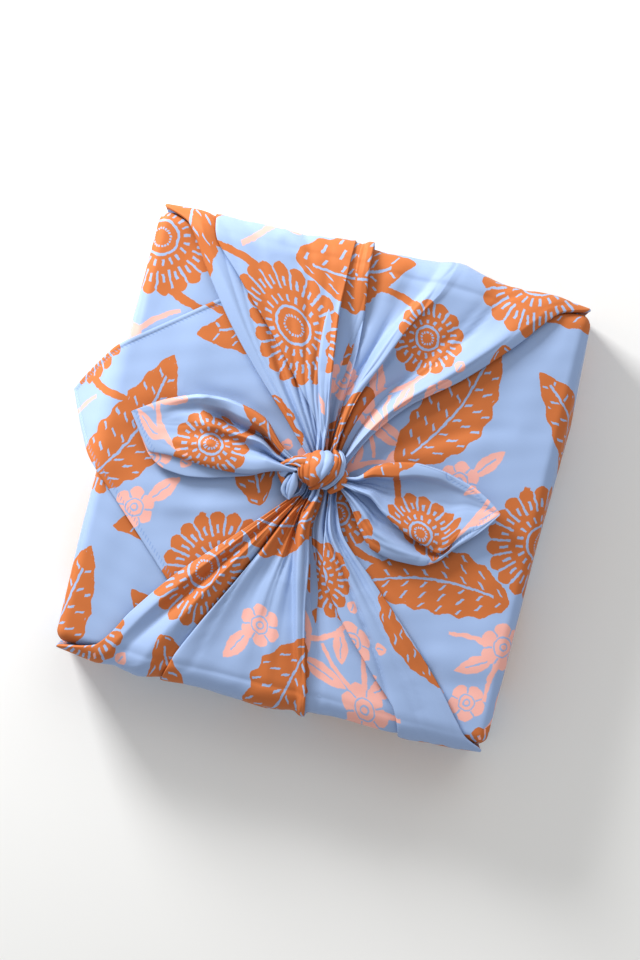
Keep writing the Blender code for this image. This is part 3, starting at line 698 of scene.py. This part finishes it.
print(len(LEFT_END), "sections of", len(LEFT_END[0]) - 1, "points")

# %% Spreading the two ends
# Dents and puffs of the two ends, seen from above
END_CREASES = {
    "right_end": (
        Crease(4, 1.2, ((40, 4), (56, 2), (76, -2))),
        Crease(5, -1.4, ((34, 2), (52, -6), (70, -12))),
        Crease(4, 1.6, ((34, -22), (50, -30), (70, -36))),
    ),
    "left_end": (
        Crease(5, 2.4, ((-90, 34), (-84, 26), (-77, 12), (-73, 0))),
        Crease(6, -3.8, ((-82, 33), (-71, 24), (-63, 15), (-50, 12))),
        Crease(4, 2.6, ((-69, 13), (-62, 9), (-50, 7))),
        Crease(3, -1.6, ((-62, 5), (-50, 3), (-38, 4))),
    ),
}

# Where the cloth's own edge runs in each end, seen from above, millimetres
RIGHT_HEM = ((78, 21), (96, 16.2), (112.8, 4.6), (99, -14.4), (80, -36))
LEFT_HEM = ((-127.6, 12), (-120.6, 1.9), (-113.4, -7.4), (-109, -11.5))

# How far from the middle the ends start on the flat cloth
ENDS_START = 380 * MM


def tied_end(name, sections, hem_line, rows=144, columns=144):
    """Smooth curves through the sections' points, first across each section and then along. The
    rows are closer at both ends: x = start + length * (1 - cos(angle)) / 2. The heights of the
    hem, the dents and the creases are added."""
    x = np.array([section[0] for section in sections], float)
    table = np.array([section[1:] for section in sections], float)
    order = np.argsort(x)
    share = np.arange(table.shape[1])
    fine = np.linspace(0, table.shape[1] - 1, columns)
    wide = through(share, np.moveaxis(table, 1, 0), fine)
    at = x[0] + (x[-1] - x[0]) * (1 - np.cos(np.linspace(0, pi, rows))) / 2
    grid = through(x[order], np.moveaxis(wide, 1, 0)[order], at)
    points = np.empty((rows, columns, 3))
    points[..., 0] = at[:, None] * MM
    points[..., 1] = grid[..., 0] * MM
    points[..., 2] = RIGHT_FLAP_Z + grid[..., 1] * MM
    distance, along, _ = nearest_on_line(points[..., 0] / MM, grid[..., 0], hem_line)
    hem = np.stack([along, distance], -1) * MM
    points[..., 2] += hem_height(distance * MM)
    points[..., 2] += crease_height(points[..., 0] / MM, grid[..., 0], END_CREASES[name])
    across = arc_length(points, 1)
    share, width = across / across[:, -1:], across[:, -1:] / MM
    away = np.abs(at - x[0])[:, None]
    points[..., 2] += pulled_creases(share, width, away,
                                     seed=len(name), count=18, deepest=1.8, longest=75)
    across = across - across[:, columns // 2:columns // 2 + 1]
    away = (ENDS_START + np.abs(at - x[0]) * MM)[:, None] + 0 * across
    flat = np.stack([across, away], -1)
    return cloth_piece(name, [Grid(points, flat, hem)], middle=(0, 0, -1), thickness=0.35 * MM)


right_end = tied_end("right_end", RIGHT_END, RIGHT_HEM)
left_end = tied_end("left_end", LEFT_END, LEFT_HEM)

# %% [markdown]
# ## The knot
# The two ends are passed round each other and pulled tight. What shows is a broad band that goes
# over the middle, narrower bands beside it, and a small petal-shaped loop at the left. Each band
# is drawn by its two edges, and bulges between them because the cloth inside it is bunched up.
# This is simpler than two strands that really pass round each other, and shows the same from
# above and from the sides.

# %% Bands of the knot
# An edge is a row of places (x, y, height above the flat corners). A crease is (share of the
# width, depth, spread), and print_at is the place on the flat cloth, which is chosen for the
# colour that it gives the band. All in millimetres.
Strap = namedtuple("Strap", "left right bulge creases print_at")
KNOT_STRAPS = (
    Strap(((-17.6, 8.6, 8), (-18.1, 6.0, 12), (-17.6, 1.6, 13.5), (-16, -3.2, 12.5),
           (-12.3, -7.4, 8), (-10, -8.6, 5)),
          ((2.4, 16.6, 8), (4.2, 14.6, 12.5), (4.4, 10.6, 16), (3.1, 5, 17), (-0.3, -1.4, 14),
           (-6.4, -7.4, 8)),
          4.2, ((0.23, 3.2, 1.3), (0.30, 2.4, 0.9), (0.37, 3.0, 1.2), (0.45, 1.4, 0.9),
                (0.60, 1.2, 1.2), (0.75, 2.0, 1.0)), (47, 15)),
    Strap(((1.6, 17.6, 7), (3.2, 14.6, 10.5), (3.2, 10.6, 14), (1.5, 4.3, 15), (-2.1, -1.8, 12),
           (-7.7, -8.4, 6)),
          ((4.8, 18.2, 6.5), (7.4, 15.4, 9.5), (8.9, 11.3, 12.5), (8.7, 5.4, 13), (6, -0.5, 10.5),
           (-0.9, -6.7, 7)),
          2.6, ((0.55, 1.0, 0.7), (0.72, 0.7, 0.5)), (47, 19)),
    Strap(((4.4, 18.4, 5), (6.6, 16.2, 9), (8.1, 11.8, 11.5), (8, 5.9, 12), (5.4, -0.6, 9.5),
           (-0.9, -6.7, 6)),
          ((7.4, 18.4, 4), (10, 15.8, 7.5), (11.8, 11.4, 9.5), (12, 5.6, 10), (9.8, -0.2, 8),
           (4.7, -6, 5.5)),
          2.2, ((0.5, 1.0, 0.6), (0.68, 0.6, 0.4)), (446, 64)),
    Strap(((11.7, 8.1, 8), (10.9, 3.4, 10), (9.7, -0.9, 10), (7, -4.8, 8.5), (4.4, -7.4, 6)),
          ((14.7, 6.3, 6), (14.9, 1.7, 7.5), (14.3, -2.3, 7.5), (11.6, -4.9, 7), (7.8, -7.8, 5)),
          2.2, ((0.45, 0.8, 0.6),), (52, 20)),
    Strap(((-30.5, -0.4, 7), (-28.7, 2.6, 9), (-25, 6.2, 10.5), (-19.9, 9.4, 11.5),
           (-14.9, 10.3, 12), (-10.9, 9.7, 12)),
          ((-29.1, -1, 7.5), (-26.9, 0.8, 9.5), (-22.8, 2.8, 11.5), (-18.3, 2.9, 12.5),
           (-14.3, 2.6, 13), (-11, 2.5, 13)),
          1.8, ((0.33, 1.0, 0.6), (0.6, 0.8, 0.6)), (50, 14)),
    Strap(((-28.5, -0.6, 7), (-25.8, 1.4, 9), (-22.2, 2.6, 10.5), (-18.2, 2.3, 11.5),
           (-14.7, 1.5, 12)),
          ((-24.8, -7.5, 6.5), (-23.1, -4.1, 8), (-20.6, -0.9, 9.5), (-17.6, 0.2, 11),
           (-14.1, -0.9, 11.5)),
          1.2, ((0.4, 0.7, 0.6),), (323, -67)),
    Strap(((-30.4, -0.7, 6), (-29, -4, 6), (-26.8, -7.3, 6), (-23.3, -11, 5.5), (-20.1, -13.5, 5)),
          ((-28, -0.1, 7), (-25.6, -3.1, 7.5), (-23.3, -5.8, 7.5), (-20.6, -9, 6.5),
           (-18, -11.6, 5.5)),
          1.0, (), (60, 18)),
    Strap(((-18.7, -0.7, 11), (-20.2, -5, 10), (-21.3, -9.9, 8.5), (-21, -13.7, 7),
           (-18.4, -17.6, 5)),
          ((-16.7, -0.9, 12), (-15.3, -5.1, 11), (-14.4, -8.8, 9.5), (-15, -12.9, 7.5),
           (-17, -17.9, 5)),
          2.4, ((0.42, 0.8, 0.8),), (271, -16)),
    Strap(((-22.2, -4.9, 8), (-24.1, -9.2, 7.5), (-24.5, -12.6, 6.5), (-22.7, -16.1, 5.5),
           (-18.9, -18.4, 4.5)),
          ((-19, -2.1, 9.5), (-20.4, -7, 8.5), (-21.3, -11.2, 7), (-20.4, -14.8, 6),
           (-17.4, -17.7, 4.5)),
          1.5, (), (401, 113)),
)
print(len(KNOT_STRAPS), "bands in the knot")


# %% Making the knot
def strap_grid(strap, rows=80, columns=132):
    """Half an ellipse between the two edges: middle + half width * cos(angle) + normal * bulge *
    sin(angle), less depth * exp(-1.3 * offset / spread) for each crease. The angle goes past 0 and
    pi, so both edges turn under."""
    sides = []
    for edge in (strap.left, strap.right):
        sides.append(through(np.arange(len(edge)), edge, np.linspace(0, len(edge) - 1, rows)))
    middle, half = (sides[0] + sides[1]) / 2, (sides[1] - sides[0]) / 2
    normal = np.cross(half, np.gradient(middle, axis=0))
    normal *= np.sign(normal[:, 2:]) / np.linalg.norm(normal, axis=1, keepdims=True)
    angle = np.linspace(1.3 * pi, -0.3 * pi, columns)
    share = np.linspace(0, 1, columns)
    width = 2 * np.linalg.norm(half, axis=1)[:, None]
    lift = strap.bulge * np.sin(angle)[None] + 0 * width
    for place, depth, spread in strap.creases:
        lift = lift - depth * np.exp(-np.abs(share - place) * width * 1.3 / spread)
    points = middle[:, None] + half[:, None] * np.cos(angle)[:, None]
    points = points + lift[..., None] * normal[:, None]
    points = points * MM + (0, 0, RIGHT_FLAP_Z)
    flat = np.stack([arc_length(points, 0), arc_length(points, 1)], -1)
    return Grid(points, flat + np.array(strap.print_at) * MM, None)


def knot_core(rows=40, columns=60):
    """An ellipsoid that fills the knot, so that no light comes through between the bands."""
    turn = np.linspace(0, 2 * pi, columns)[None]
    tilt = np.linspace(0, pi, rows)[:, None]
    ring_x, ring_y = np.sin(tilt) * np.cos(turn), np.sin(tilt) * np.sin(turn)
    ball = np.stack([ring_x, ring_y, np.cos(tilt) + 0 * turn], -1)
    points = (ball * (14, 10, 7.5) + (-5.5, 4.5, 6.5)) * MM + (0, 0, RIGHT_FLAP_Z)
    return Grid(points, np.stack([arc_length(points, 1), arc_length(points, 0)], -1), None)


knot = cloth_piece("knot", [knot_core()] + [strap_grid(strap) for strap in KNOT_STRAPS],
                   middle=(-5 * MM, 4 * MM, RIGHT_FLAP_Z))

# %% [markdown]
# ## Writing a shader as a formula
# A printed pattern is a formula of the place on the cloth. Written node by node it would be hard
# to read, so a small class lets the output of a node be used in a sum like a number. Each sum adds
# one Math node to the node tree.

# %% Sums of nodes
class Value:
    """The output of a shader node. A sum with it adds a Math node and returns that one's output."""

    def __init__(self, socket):
        self.socket = socket

    def __add__(self, other):
        return math_node("ADD", self, other)

    def __sub__(self, other):
        return math_node("SUBTRACT", self, other)

    def __rsub__(self, other):
        return math_node("SUBTRACT", other, self)

    def __mul__(self, other):
        return math_node("MULTIPLY", self, other)

    def __truediv__(self, other):
        return math_node("DIVIDE", self, other)

    def __pow__(self, other):
        return math_node("POWER", self, other)

    def __abs__(self):
        return math_node("ABSOLUTE", self)


def plug(tree, value, socket):
    """Sets a socket to a number, or links a value to it."""
    if isinstance(value, Value):
        tree.links.new(value.socket, socket)
    else:
        socket.default_value = value


def math_node(operation, *values):
    """Adds a Math node to the tree that the values belong to, and returns its output."""
    tree = next(v for v in values if isinstance(v, Value)).socket.id_data
    node = tree.nodes.new("ShaderNodeMath")
    node.operation = operation
    for value, socket in zip(values, node.inputs):
        plug(tree, value, socket)
    return Value(node.outputs[0])


def inside(distance, soft=0.25):
    """1 where a distance is positive and 0 where it is negative, with an edge 2 * soft wide."""
    tree = distance.socket.id_data
    node = tree.nodes.new("ShaderNodeMapRange")
    node.interpolation_type = "SMOOTHSTEP"
    node.inputs["From Min"].default_value = -soft
    node.inputs["From Max"].default_value = soft
    plug(tree, distance, node.inputs["Value"])
    return Value(node.outputs["Result"])


# %% Groups of nodes
def new_group(name, inputs, outputs):
    """An empty node group with named inputs, given with their starting values, and outputs."""
    tree = bpy.data.node_groups.new(name, "ShaderNodeTree")
    for label, number in inputs.items():
        socket = tree.interface.new_socket(label, in_out="INPUT", socket_type="NodeSocketFloat")
        socket.default_value = number
    for label in outputs:
        tree.interface.new_socket(label, in_out="OUTPUT", socket_type="NodeSocketFloat")
    start = tree.nodes.new("NodeGroupInput")
    return tree, [Value(start.outputs[label]) for label in inputs]


def put_out(tree, *values):
    """Links the values to the group's outputs, in order."""
    end = tree.nodes.new("NodeGroupOutput")
    for value, socket in zip(values, end.inputs):
        plug(tree, value, socket)
    print(f"group {tree.name}: {len(tree.nodes)} nodes")
    return tree


def use_group(tree, group, *values):
    """Places a group in a tree, with values for its inputs in order. Returns its outputs."""
    node = tree.nodes.new("ShaderNodeGroup")
    node.node_tree = group
    for value, socket in zip(values, node.inputs):
        plug(tree, value, socket)
    return [Value(socket) for socket in node.outputs]


# %% [markdown]
# ## The printed flowers and leaves
# The cotton is block-printed in terracotta and pink on periwinkle blue. The design here is a
# plain repeat of my own: round blooms, long leaves with short pale cuts in them, and sprays of
# small pink flowers. Each motif is a group that answers two questions for a place on the cloth:
# is it inside the shape, and is it in one of the cuts that leave the ground bare? A picture could
# be laid on the cloth instead, but a formula needs no file and stays sharp however near one looks.
# Places and sizes are in millimetres.

# %% Round flowers
def bloom_group():
    """Outline: radius * (0.88 + 0.12 * |cos(petals * angle / 2)|^0.7). The cuts are short lines
    between and along the petals, a ring, and a dotted middle."""
    tree, (x, y, radius, petals) = new_group(
        "bloom", {"X": 0, "Y": 0, "Radius": 33, "Petals": 18}, ["Shape", "Cuts"])
    distance = math_node("SQRT", x * x + y * y)
    angle = math_node("ARCTAN2", y, x) * petals * 0.5
    wave = abs(math_node("COSINE", angle))
    outline = radius * (wave ** 0.7 * 0.12 + 0.88)
    width = distance * 2 / petals
    share = distance / radius
    between = inside(0.75 - wave * width) * inside(share - 0.58, 0.01) * inside(0.9 - share, 0.01)
    along = abs(math_node("SINE", angle)) * width
    outer = inside(0.8 - along) * inside(share - 0.63, 0.01) * inside(0.78 - share, 0.01)
    inner = inside(0.75 - along) * inside(share - 0.38, 0.01) * inside(0.5 - share, 0.01)
    ring = inside(0.8 - abs(distance - radius * 0.3))
    dotted = inside(0.7 - abs(distance - radius * 0.16)) * inside(wave - 0.55, 0.1)
    cuts = between
    for cut in (outer, inner, ring, dotted):
        cuts = math_node("MAXIMUM", cuts, cut)
    return put_out(tree, inside(outline - distance), cuts)


def rosette_group():
    """As a bloom, but radius * (0.74 + 0.26 * |cos(petals * angle / 2)|^0.6). The cuts are one line
    between each two petals, a ring and an eye."""
    tree, (x, y, radius, petals) = new_group(
        "rosette", {"X": 0, "Y": 0, "Radius": 13, "Petals": 6}, ["Shape", "Cuts"])
    distance = math_node("SQRT", x * x + y * y)
    wave = abs(math_node("COSINE", math_node("ARCTAN2", y, x) * petals * 0.5))
    outline = radius * (wave ** 0.6 * 0.26 + 0.74)
    between = inside(0.55 - wave * distance * 2 / petals) * inside(distance - radius * 0.5)
    ring = inside(0.5 - abs(distance - radius * 0.42))
    eye = inside(0.5 - abs(distance - radius * 0.16))
    cuts = math_node("MAXIMUM", math_node("MAXIMUM", between, ring), eye)
    return put_out(tree, inside(outline - distance), cuts)


BLOOM = bloom_group()
ROSETTE = rosette_group()

# %% Leaves and stems
def leaf_group():
    """Half width: width / 2 * sin(pi * t^0.8)^0.75 for t from the stalk to the tip, slightly
    notched, about a midrib bowed by 0.09 * length. The cuts are the midrib and rows of dashes."""
    tree, (x, y, length, width) = new_group(
        "leaf", {"X": 0, "Y": 0, "Length": 100, "Width": 40}, ["Shape", "Cuts"])
    t = math_node("MINIMUM", math_node("MAXIMUM", x / length + 0.5, 0.0), 1.0)
    bow = (math_node("SINE", t * pi) - 0.6) * length * 0.09
    side = abs(y - bow)
    notches = math_node("SINE", t * length * 0.45) * 0.05 + 1
    half = math_node("SINE", t ** 0.8 * pi) ** 0.75 * width * 0.5 * notches
    row = side / 7.0
    row_number = math_node("FLOOR", row)
    slant = (x - side * 0.8 + row_number * 5.0) / 12.0
    from_dash = abs(slant - math_node("ROUND", slant)) * 12.0
    from_row = abs(row - row_number - 0.5) * 7.0
    dashes = inside(0.85 - from_dash) * inside(2.3 - from_row) * inside(half - side - 2.0)
    reach = length * 0.38 - abs(x + length * 0.02)
    midrib = inside(0.8 - side) * inside(reach)
    cuts = math_node("MAXIMUM", dashes * inside(side - 2), midrib)
    return put_out(tree, inside(half - side - 0.3), cuts)


def small_leaf_group():
    """Half width: width / 2 * sin(pi * t^0.85)^0.8. There is a single cut along the middle."""
    tree, (x, y, length, width) = new_group(
        "small leaf", {"X": 0, "Y": 0, "Length": 26, "Width": 10}, ["Shape", "Cuts"])
    t = math_node("MINIMUM", math_node("MAXIMUM", x / length + 0.5, 0.0), 1.0)
    half = math_node("SINE", t ** 0.85 * pi) ** 0.8 * width * 0.5
    cut = inside(0.5 - abs(y)) * inside(length * 0.28 - abs(x + length * 0.08))
    return put_out(tree, inside(half - abs(y) - 0.3), cut)


def stem_group():
    """A piece of a circle of the given radius, as far as the half angle on both sides of +X. It
    gets thinner by 0.4 * (angle / half angle)^2. It has no cuts."""
    tree, (x, y, radius, thickness, half_angle) = new_group(
        "stem", {"X": 0, "Y": 0, "Radius": 60, "Thickness": 5, "Half angle": 34}, ["Shape", "Cuts"])
    off_circle = abs(math_node("SQRT", x * x + y * y) - radius)
    share = abs(math_node("ARCTAN2", y, x)) / math_node("RADIANS", half_angle)
    taper = (1 - share * share * 0.4) * thickness * 0.5
    shape = inside(taper - off_circle) * inside(1 - share, 0.01)
    return put_out(tree, shape, shape * 0)


LEAF = leaf_group()
SMALL_LEAF = small_leaf_group()
STEM = stem_group()

# %% [markdown]
# ### The repeat
# The blocks are printed in a half-drop: each column of the repeat is half a repeat lower than the
# last, so that the eye finds no rows. A motif's own group first finds the nearest copy of the
# motif, and turns the place round to the motif's own direction.

# %% Finding the nearest copy
REPEAT = 184.0


def repeat_group():
    """Column = round((across - x) / repeat). The place less the nearest copy's place is turned by
    the motif's own angle."""
    inputs = {"Across": 0, "Up": 0, "Place X": 0, "Place Y": 0, "Turn": 0}
    tree, (across, up, x, y, turn) = new_group("half-drop repeat", inputs, ["X", "Y"])
    from_x = across - x
    column = math_node("ROUND", from_x / REPEAT)
    local_x = from_x - column * REPEAT
    from_y = up - y - column * (REPEAT / 2)
    local_y = from_y - math_node("ROUND", from_y / REPEAT) * REPEAT
    angle = math_node("RADIANS", turn)
    cosine, sine = math_node("COSINE", angle), math_node("SINE", angle)
    return put_out(tree, local_x * cosine + local_y * sine, local_y * cosine - local_x * sine)


HALF_DROP = repeat_group()

# shape, place, turn in degrees, then the shape's own sizes. Later ones are printed over earlier.
PINK_MOTIFS = (
    (STEM, -8, -66, 75, 62, 4, 36),
    (STEM, 62, -20, 165, 48, 3.6, 44),
    (STEM, 38, -78, 100, 36, 3.4, 40),
    (ROSETTE, 12, -4, 0, 15, 6),
    (ROSETTE, 50, -22, 20, 12, 5),
    (ROSETTE, -18, -84, 12, 13, 6),
    (SMALL_LEAF, 6, -32, 70, 30, 12),
    (SMALL_LEAF, 34, -4, 15, 26, 11),
    (SMALL_LEAF, 16, -56, 130, 28, 11),
    (SMALL_LEAF, -40, -84, 175, 26, 11),
    (SMALL_LEAF, 30, -36, -40, 24, 10),
    (SMALL_LEAF, 63, -8, 40, 8, 8),
    (SMALL_LEAF, 67, -35, -20, 8, 8),
)
TERRACOTTA_MOTIFS = (
    (STEM, -96, 24, 0, 66, 6, 50),
    (STEM, 18, -70, -20, 46, 5, 26),
    (BLOOM, -44, 38, 10, 37, 20),
    (BLOOM, 58, -62, 0, 24, 14),
    (LEAF, 32, 54, 38, 104, 42),
    (LEAF, -42, -40, 158, 108, 42),
    (LEAF, 88, 4, 98, 74, 30),
)
print(len(PINK_MOTIFS), "pink motifs and", len(TERRACOTTA_MOTIFS), "terracotta ones")


# %% Printing the motifs
DIAGONAL = 0.7071  # the cosine and the sine of 45 degrees


def ink(tree, across, up, motifs):
    """How much ink there is at a place: each motif in turn covers what is under it, and its cuts
    leave the ground bare."""
    total = None
    for motif, x, y, turn, *sizes in motifs:
        place = use_group(tree, HALF_DROP, across, up, x, y, turn)
        shape, cuts = use_group(tree, motif, *place, *sizes)
        printed = shape - shape * cuts
        total = printed if total is None else total - total * shape + printed
    return total


def block_print_group():
    """The place on the cloth is turned by 45 degrees, because the print follows the hems, and
    shaken by noise, so that the edges look hand-cut. Then both inks are printed."""
    tree, (across, up) = new_group("block print", {"Across": 0, "Up": 0}, ["Terracotta", "Pink"])
    turned_x, turned_y = (across - up) * DIAGONAL, (across + up) * DIAGONAL
    place = tree.nodes.new("ShaderNodeCombineXYZ")
    plug(tree, turned_x, place.inputs["X"])
    plug(tree, turned_y, place.inputs["Y"])
    shaken = []
    for shift, value in ((0.0, turned_x), (50.0, turned_y)):
        noise = tree.nodes.new("ShaderNodeTexNoise")
        noise.noise_dimensions = "4D"
        noise.inputs["Scale"].default_value = 0.16
        noise.inputs["Detail"].default_value = 3.0
        noise.inputs["Roughness"].default_value = 0.62
        noise.inputs["W"].default_value = shift
        tree.links.new(place.outputs[0], noise.inputs["Vector"])
        shaken.append(value + (Value(noise.outputs["Fac"]) - 0.5) * 3.6)
    pink = ink(tree, *shaken, PINK_MOTIFS)
    terracotta = ink(tree, *shaken, TERRACOTTA_MOTIFS)
    return put_out(tree, terracotta, pink)


BLOCK_PRINT = block_print_group()

# %% [markdown]
# ## The cloth itself
# It is a fine, closely woven cotton with a slight satin face. The weave is far finer than a
# pixel of a photograph, so it is a faint bump. The ink lies in it a little unevenly, with darker
# patches; the lighter patches are a little glossier. Stitches show along the hems, and pull the
# bump down.

# %% Weave and stitches
def weave_group():
    """Height: 0.5 + 0.5 * sin(across) * sin(up), so that threads 0.42 mm apart go over and under
    each other by turns."""
    tree, (across, up) = new_group("weave", {"Across": 0, "Up": 0}, ["Height"])
    pitch = 2 * pi / 0.84
    warp = math_node("SINE", across * pitch)
    weft = math_node("SINE", up * pitch)
    return put_out(tree, warp * weft * 0.5 + 0.5)


def stitches_group():
    """Whip stitches: slanting ticks 2.6 mm apart, about 2 mm long, on the inner side of the hem.
    Along and From edge are in millimetres. Puts out a mask."""
    tree, (along, from_edge) = new_group("stitches", {"Along": 0, "From edge": 1000}, ["Thread"])
    phase = (along + from_edge * 0.7) / 2.6
    off = abs(phase - math_node("ROUND", phase)) * 2.6
    row = inside(1.1 - abs(from_edge - 3.0), 0.2)
    return put_out(tree, inside(0.42 - off, 0.15) * row)


WEAVE = weave_group()
STITCHES = stitches_group()

# %% The finish
GROUND = (0.345, 0.445, 0.648, 1)
TERRACOTTA = (0.575, 0.19, 0.042, 1)
PINK = (0.80, 0.43, 0.36, 1)
THREAD = (0.22, 0.32, 0.55, 1)


def uv_place(tree, label):
    """The two numbers of a UV map, in millimetres."""
    uv = tree.nodes.new("ShaderNodeUVMap")
    uv.uv_map = label
    apart = tree.nodes.new("ShaderNodeSeparateXYZ")
    tree.links.new(uv.outputs["UV"], apart.inputs[0])
    return Value(apart.outputs["X"]) * 1000, Value(apart.outputs["Y"]) * 1000


def coloured(tree, share, under, over):
    """A Mix node from one colour to another. Under may be a colour or a socket."""
    mix = tree.nodes.new("ShaderNodeMix")
    mix.data_type = "RGBA"
    plug(tree, share, mix.inputs["Factor"])
    for colour, socket in ((under, mix.inputs["A"]), (over, mix.inputs["B"])):
        if isinstance(colour, tuple):
            socket.default_value = colour
        else:
            tree.links.new(colour, socket)
    return mix.outputs["Result"]


def cotton():
    """Blue ground, then pink, terracotta and the thread, each mixed over the last by its mask.
    Roughness is 0.64, less 0.08 where the ink is patchy, plus 0.03 on the terracotta."""
    material = bpy.data.materials.new("printed cotton")
    material.use_nodes = True
    tree = material.node_tree
    shader = tree.nodes["Principled BSDF"]
    across, up = uv_place(tree, "Cloth")
    along, from_edge = uv_place(tree, "Hem")
    terracotta, pink = use_group(tree, BLOCK_PRINT, across, up)
    (thread,) = use_group(tree, STITCHES, along, from_edge)
    (height,) = use_group(tree, WEAVE, across, up)
    uneven = tree.nodes.new("ShaderNodeTexNoise")
    uneven.inputs["Scale"].default_value = 38
    uneven.inputs["Detail"].default_value = 6
    place = tree.nodes.new("ShaderNodeUVMap")
    place.uv_map = "Cloth"
    tree.links.new(place.outputs["UV"], uneven.inputs["Vector"])
    patch = (Value(uneven.outputs["Fac"]) - 0.5) * 0.5 + 0.5
    blue = coloured(tree, patch, tuple(c * 0.94 for c in GROUND[:3]) + (1,), GROUND)
    orange = coloured(tree, patch, tuple(c * 0.8 for c in TERRACOTTA[:3]) + (1,), TERRACOTTA)
    colour = coloured(tree, pink * 0.92, blue, PINK)
    colour = coloured(tree, terracotta * 0.96, colour, orange)
    colour = coloured(tree, thread * 0.6, colour, THREAD)
    tree.links.new(colour, shader.inputs["Base Color"])
    bump = tree.nodes.new("ShaderNodeBump")
    bump.inputs["Strength"].default_value = 0.12
    bump.inputs["Distance"].default_value = 0.1 * MM
    plug(tree, height - thread * 2.0, bump.inputs["Height"])
    tree.links.new(bump.outputs["Normal"], shader.inputs["Normal"])
    roughness = 0.64 - patch * 0.08 + terracotta * 0.03
    plug(tree, roughness, shader.inputs["Roughness"])
    shader.inputs["Specular IOR Level"].default_value = 0.4
    shader.inputs["Sheen Weight"].default_value = 0.05
    shader.inputs["Sheen Roughness"].default_value = 0.45
    shader.inputs["Sheen Tint"].default_value = (0.9, 0.95, 1, 1)
    return material


# %% Dressing the pieces
cloth = [base, left_corner, right_corner, near_corner, far_corner, right_end, left_end, knot]
printed_cotton = cotton()
for piece in cloth:
    piece.data.materials.append(printed_cotton)
print(len(printed_cotton.node_tree.nodes), "nodes in", printed_cotton.name)

# %% [markdown]
# ## Camera, floor and light
# The camera looks straight down, turned by 14 degrees, from far enough to keep the walls out of
# sight. A small soft light stands low at the upper left: it draws the folds and casts the long
# shadow. A large one, higher up and further to the right, and a white surrounding fill the
# shadows in. The view has a high contrast, as the photograph has.

# %% The floor
FLOOR_HALF = 3


def floor_plane():
    """A square that lies on z = 0, with its middle at the origin."""
    mesh = bpy.data.meshes.new("floor")
    sides = ((-1, -1), (1, -1), (1, 1), (-1, 1))
    mesh.from_pydata([(x * FLOOR_HALF, y * FLOOR_HALF, 0) for x, y in sides], [], [(0, 1, 2, 3)])
    made = bpy.data.objects.new("floor", mesh)
    bpy.context.scene.collection.objects.link(made)
    return made


floor = floor_plane()
paper = bpy.data.materials.new("pale paper")
paper.use_nodes = True
paper_shader = paper.node_tree.nodes["Principled BSDF"]
paper_shader.inputs["Base Color"].default_value = (0.775, 0.775, 0.765, 1)
paper_shader.inputs["Roughness"].default_value = 0.9
floor.data.materials.append(paper)
print("floor:", 2 * FLOOR_HALF, "metres square")

# %% The camera
# The lens is as long as it takes for the picture's height to hold as much of the wrap's top as
# the photograph's height does: there the top is 280 mm, or 443 of 960 pixels. The middle of the
# picture is a little off the wrap's middle.
TURN = atan(0.2415 / 0.9706)
MIDDLE_X, MIDDLE_Y = -0.0017, -0.0018
DISTANCE = 1.6
MM_PER_PIXEL = 280 / 443
PICTURE_HEIGHT = 960 * MM_PER_PIXEL * MM
TOP_Z = 60 * MM
SENSOR_HEIGHT = 24
lens = bpy.data.cameras.new("camera")
lens.sensor_fit = "VERTICAL"
lens.sensor_height = SENSOR_HEIGHT
lens.lens = SENSOR_HEIGHT * (DISTANCE - TOP_Z) / PICTURE_HEIGHT
camera = bpy.data.objects.new("camera", lens)
camera.location = (MIDDLE_X, MIDDLE_Y, DISTANCE)
camera.rotation_euler = (0, 0, TURN)
bpy.context.scene.collection.objects.link(camera)
bpy.context.scene.camera = camera
print("lens:", round(lens.lens, 1), "mm, turned by", round(TURN * 180 / pi, 1), "degrees")


# %% The lights
def soft_light(name, place, size, power):
    """A square white light, its size in metres and its power in watts, turned to the middle."""
    data = bpy.data.lights.new(name, "AREA")
    data.size = size
    data.energy = power
    light = bpy.data.objects.new(name, data)
    light.location = place
    light.rotation_euler = (Vector((0, 0, 0)) - Vector(place)).to_track_quat("-Z", "Y").to_euler()
    bpy.context.scene.collection.objects.link(light)
    return light


def from_the_side(azimuth, elevation, distance):
    """A place seen from the middle: the azimuth is counted in the picture, from its right side."""
    turn, up = radians(azimuth) + TURN, radians(elevation)
    return cos(turn) * cos(up) * distance, sin(turn) * cos(up) * distance, sin(up) * distance


soft_light("key light", from_the_side(azimuth=126, elevation=26, distance=1.15), 0.33, 11.5)
soft_light("top light", from_the_side(azimuth=60, elevation=50, distance=1.9), 1.2, 4)
world = bpy.data.worlds.new("studio")
bpy.context.scene.world = world
world.use_nodes = True
surroundings = world.node_tree.nodes["Background"]
surroundings.inputs["Color"].default_value = (1, 1, 1, 1)
surroundings.inputs["Strength"].default_value = 0.50
bpy.context.scene.view_settings.view_transform = "Standard"
bpy.context.scene.view_settings.look = "High Contrast"
print("lights:", [light.name for light in bpy.data.lights])
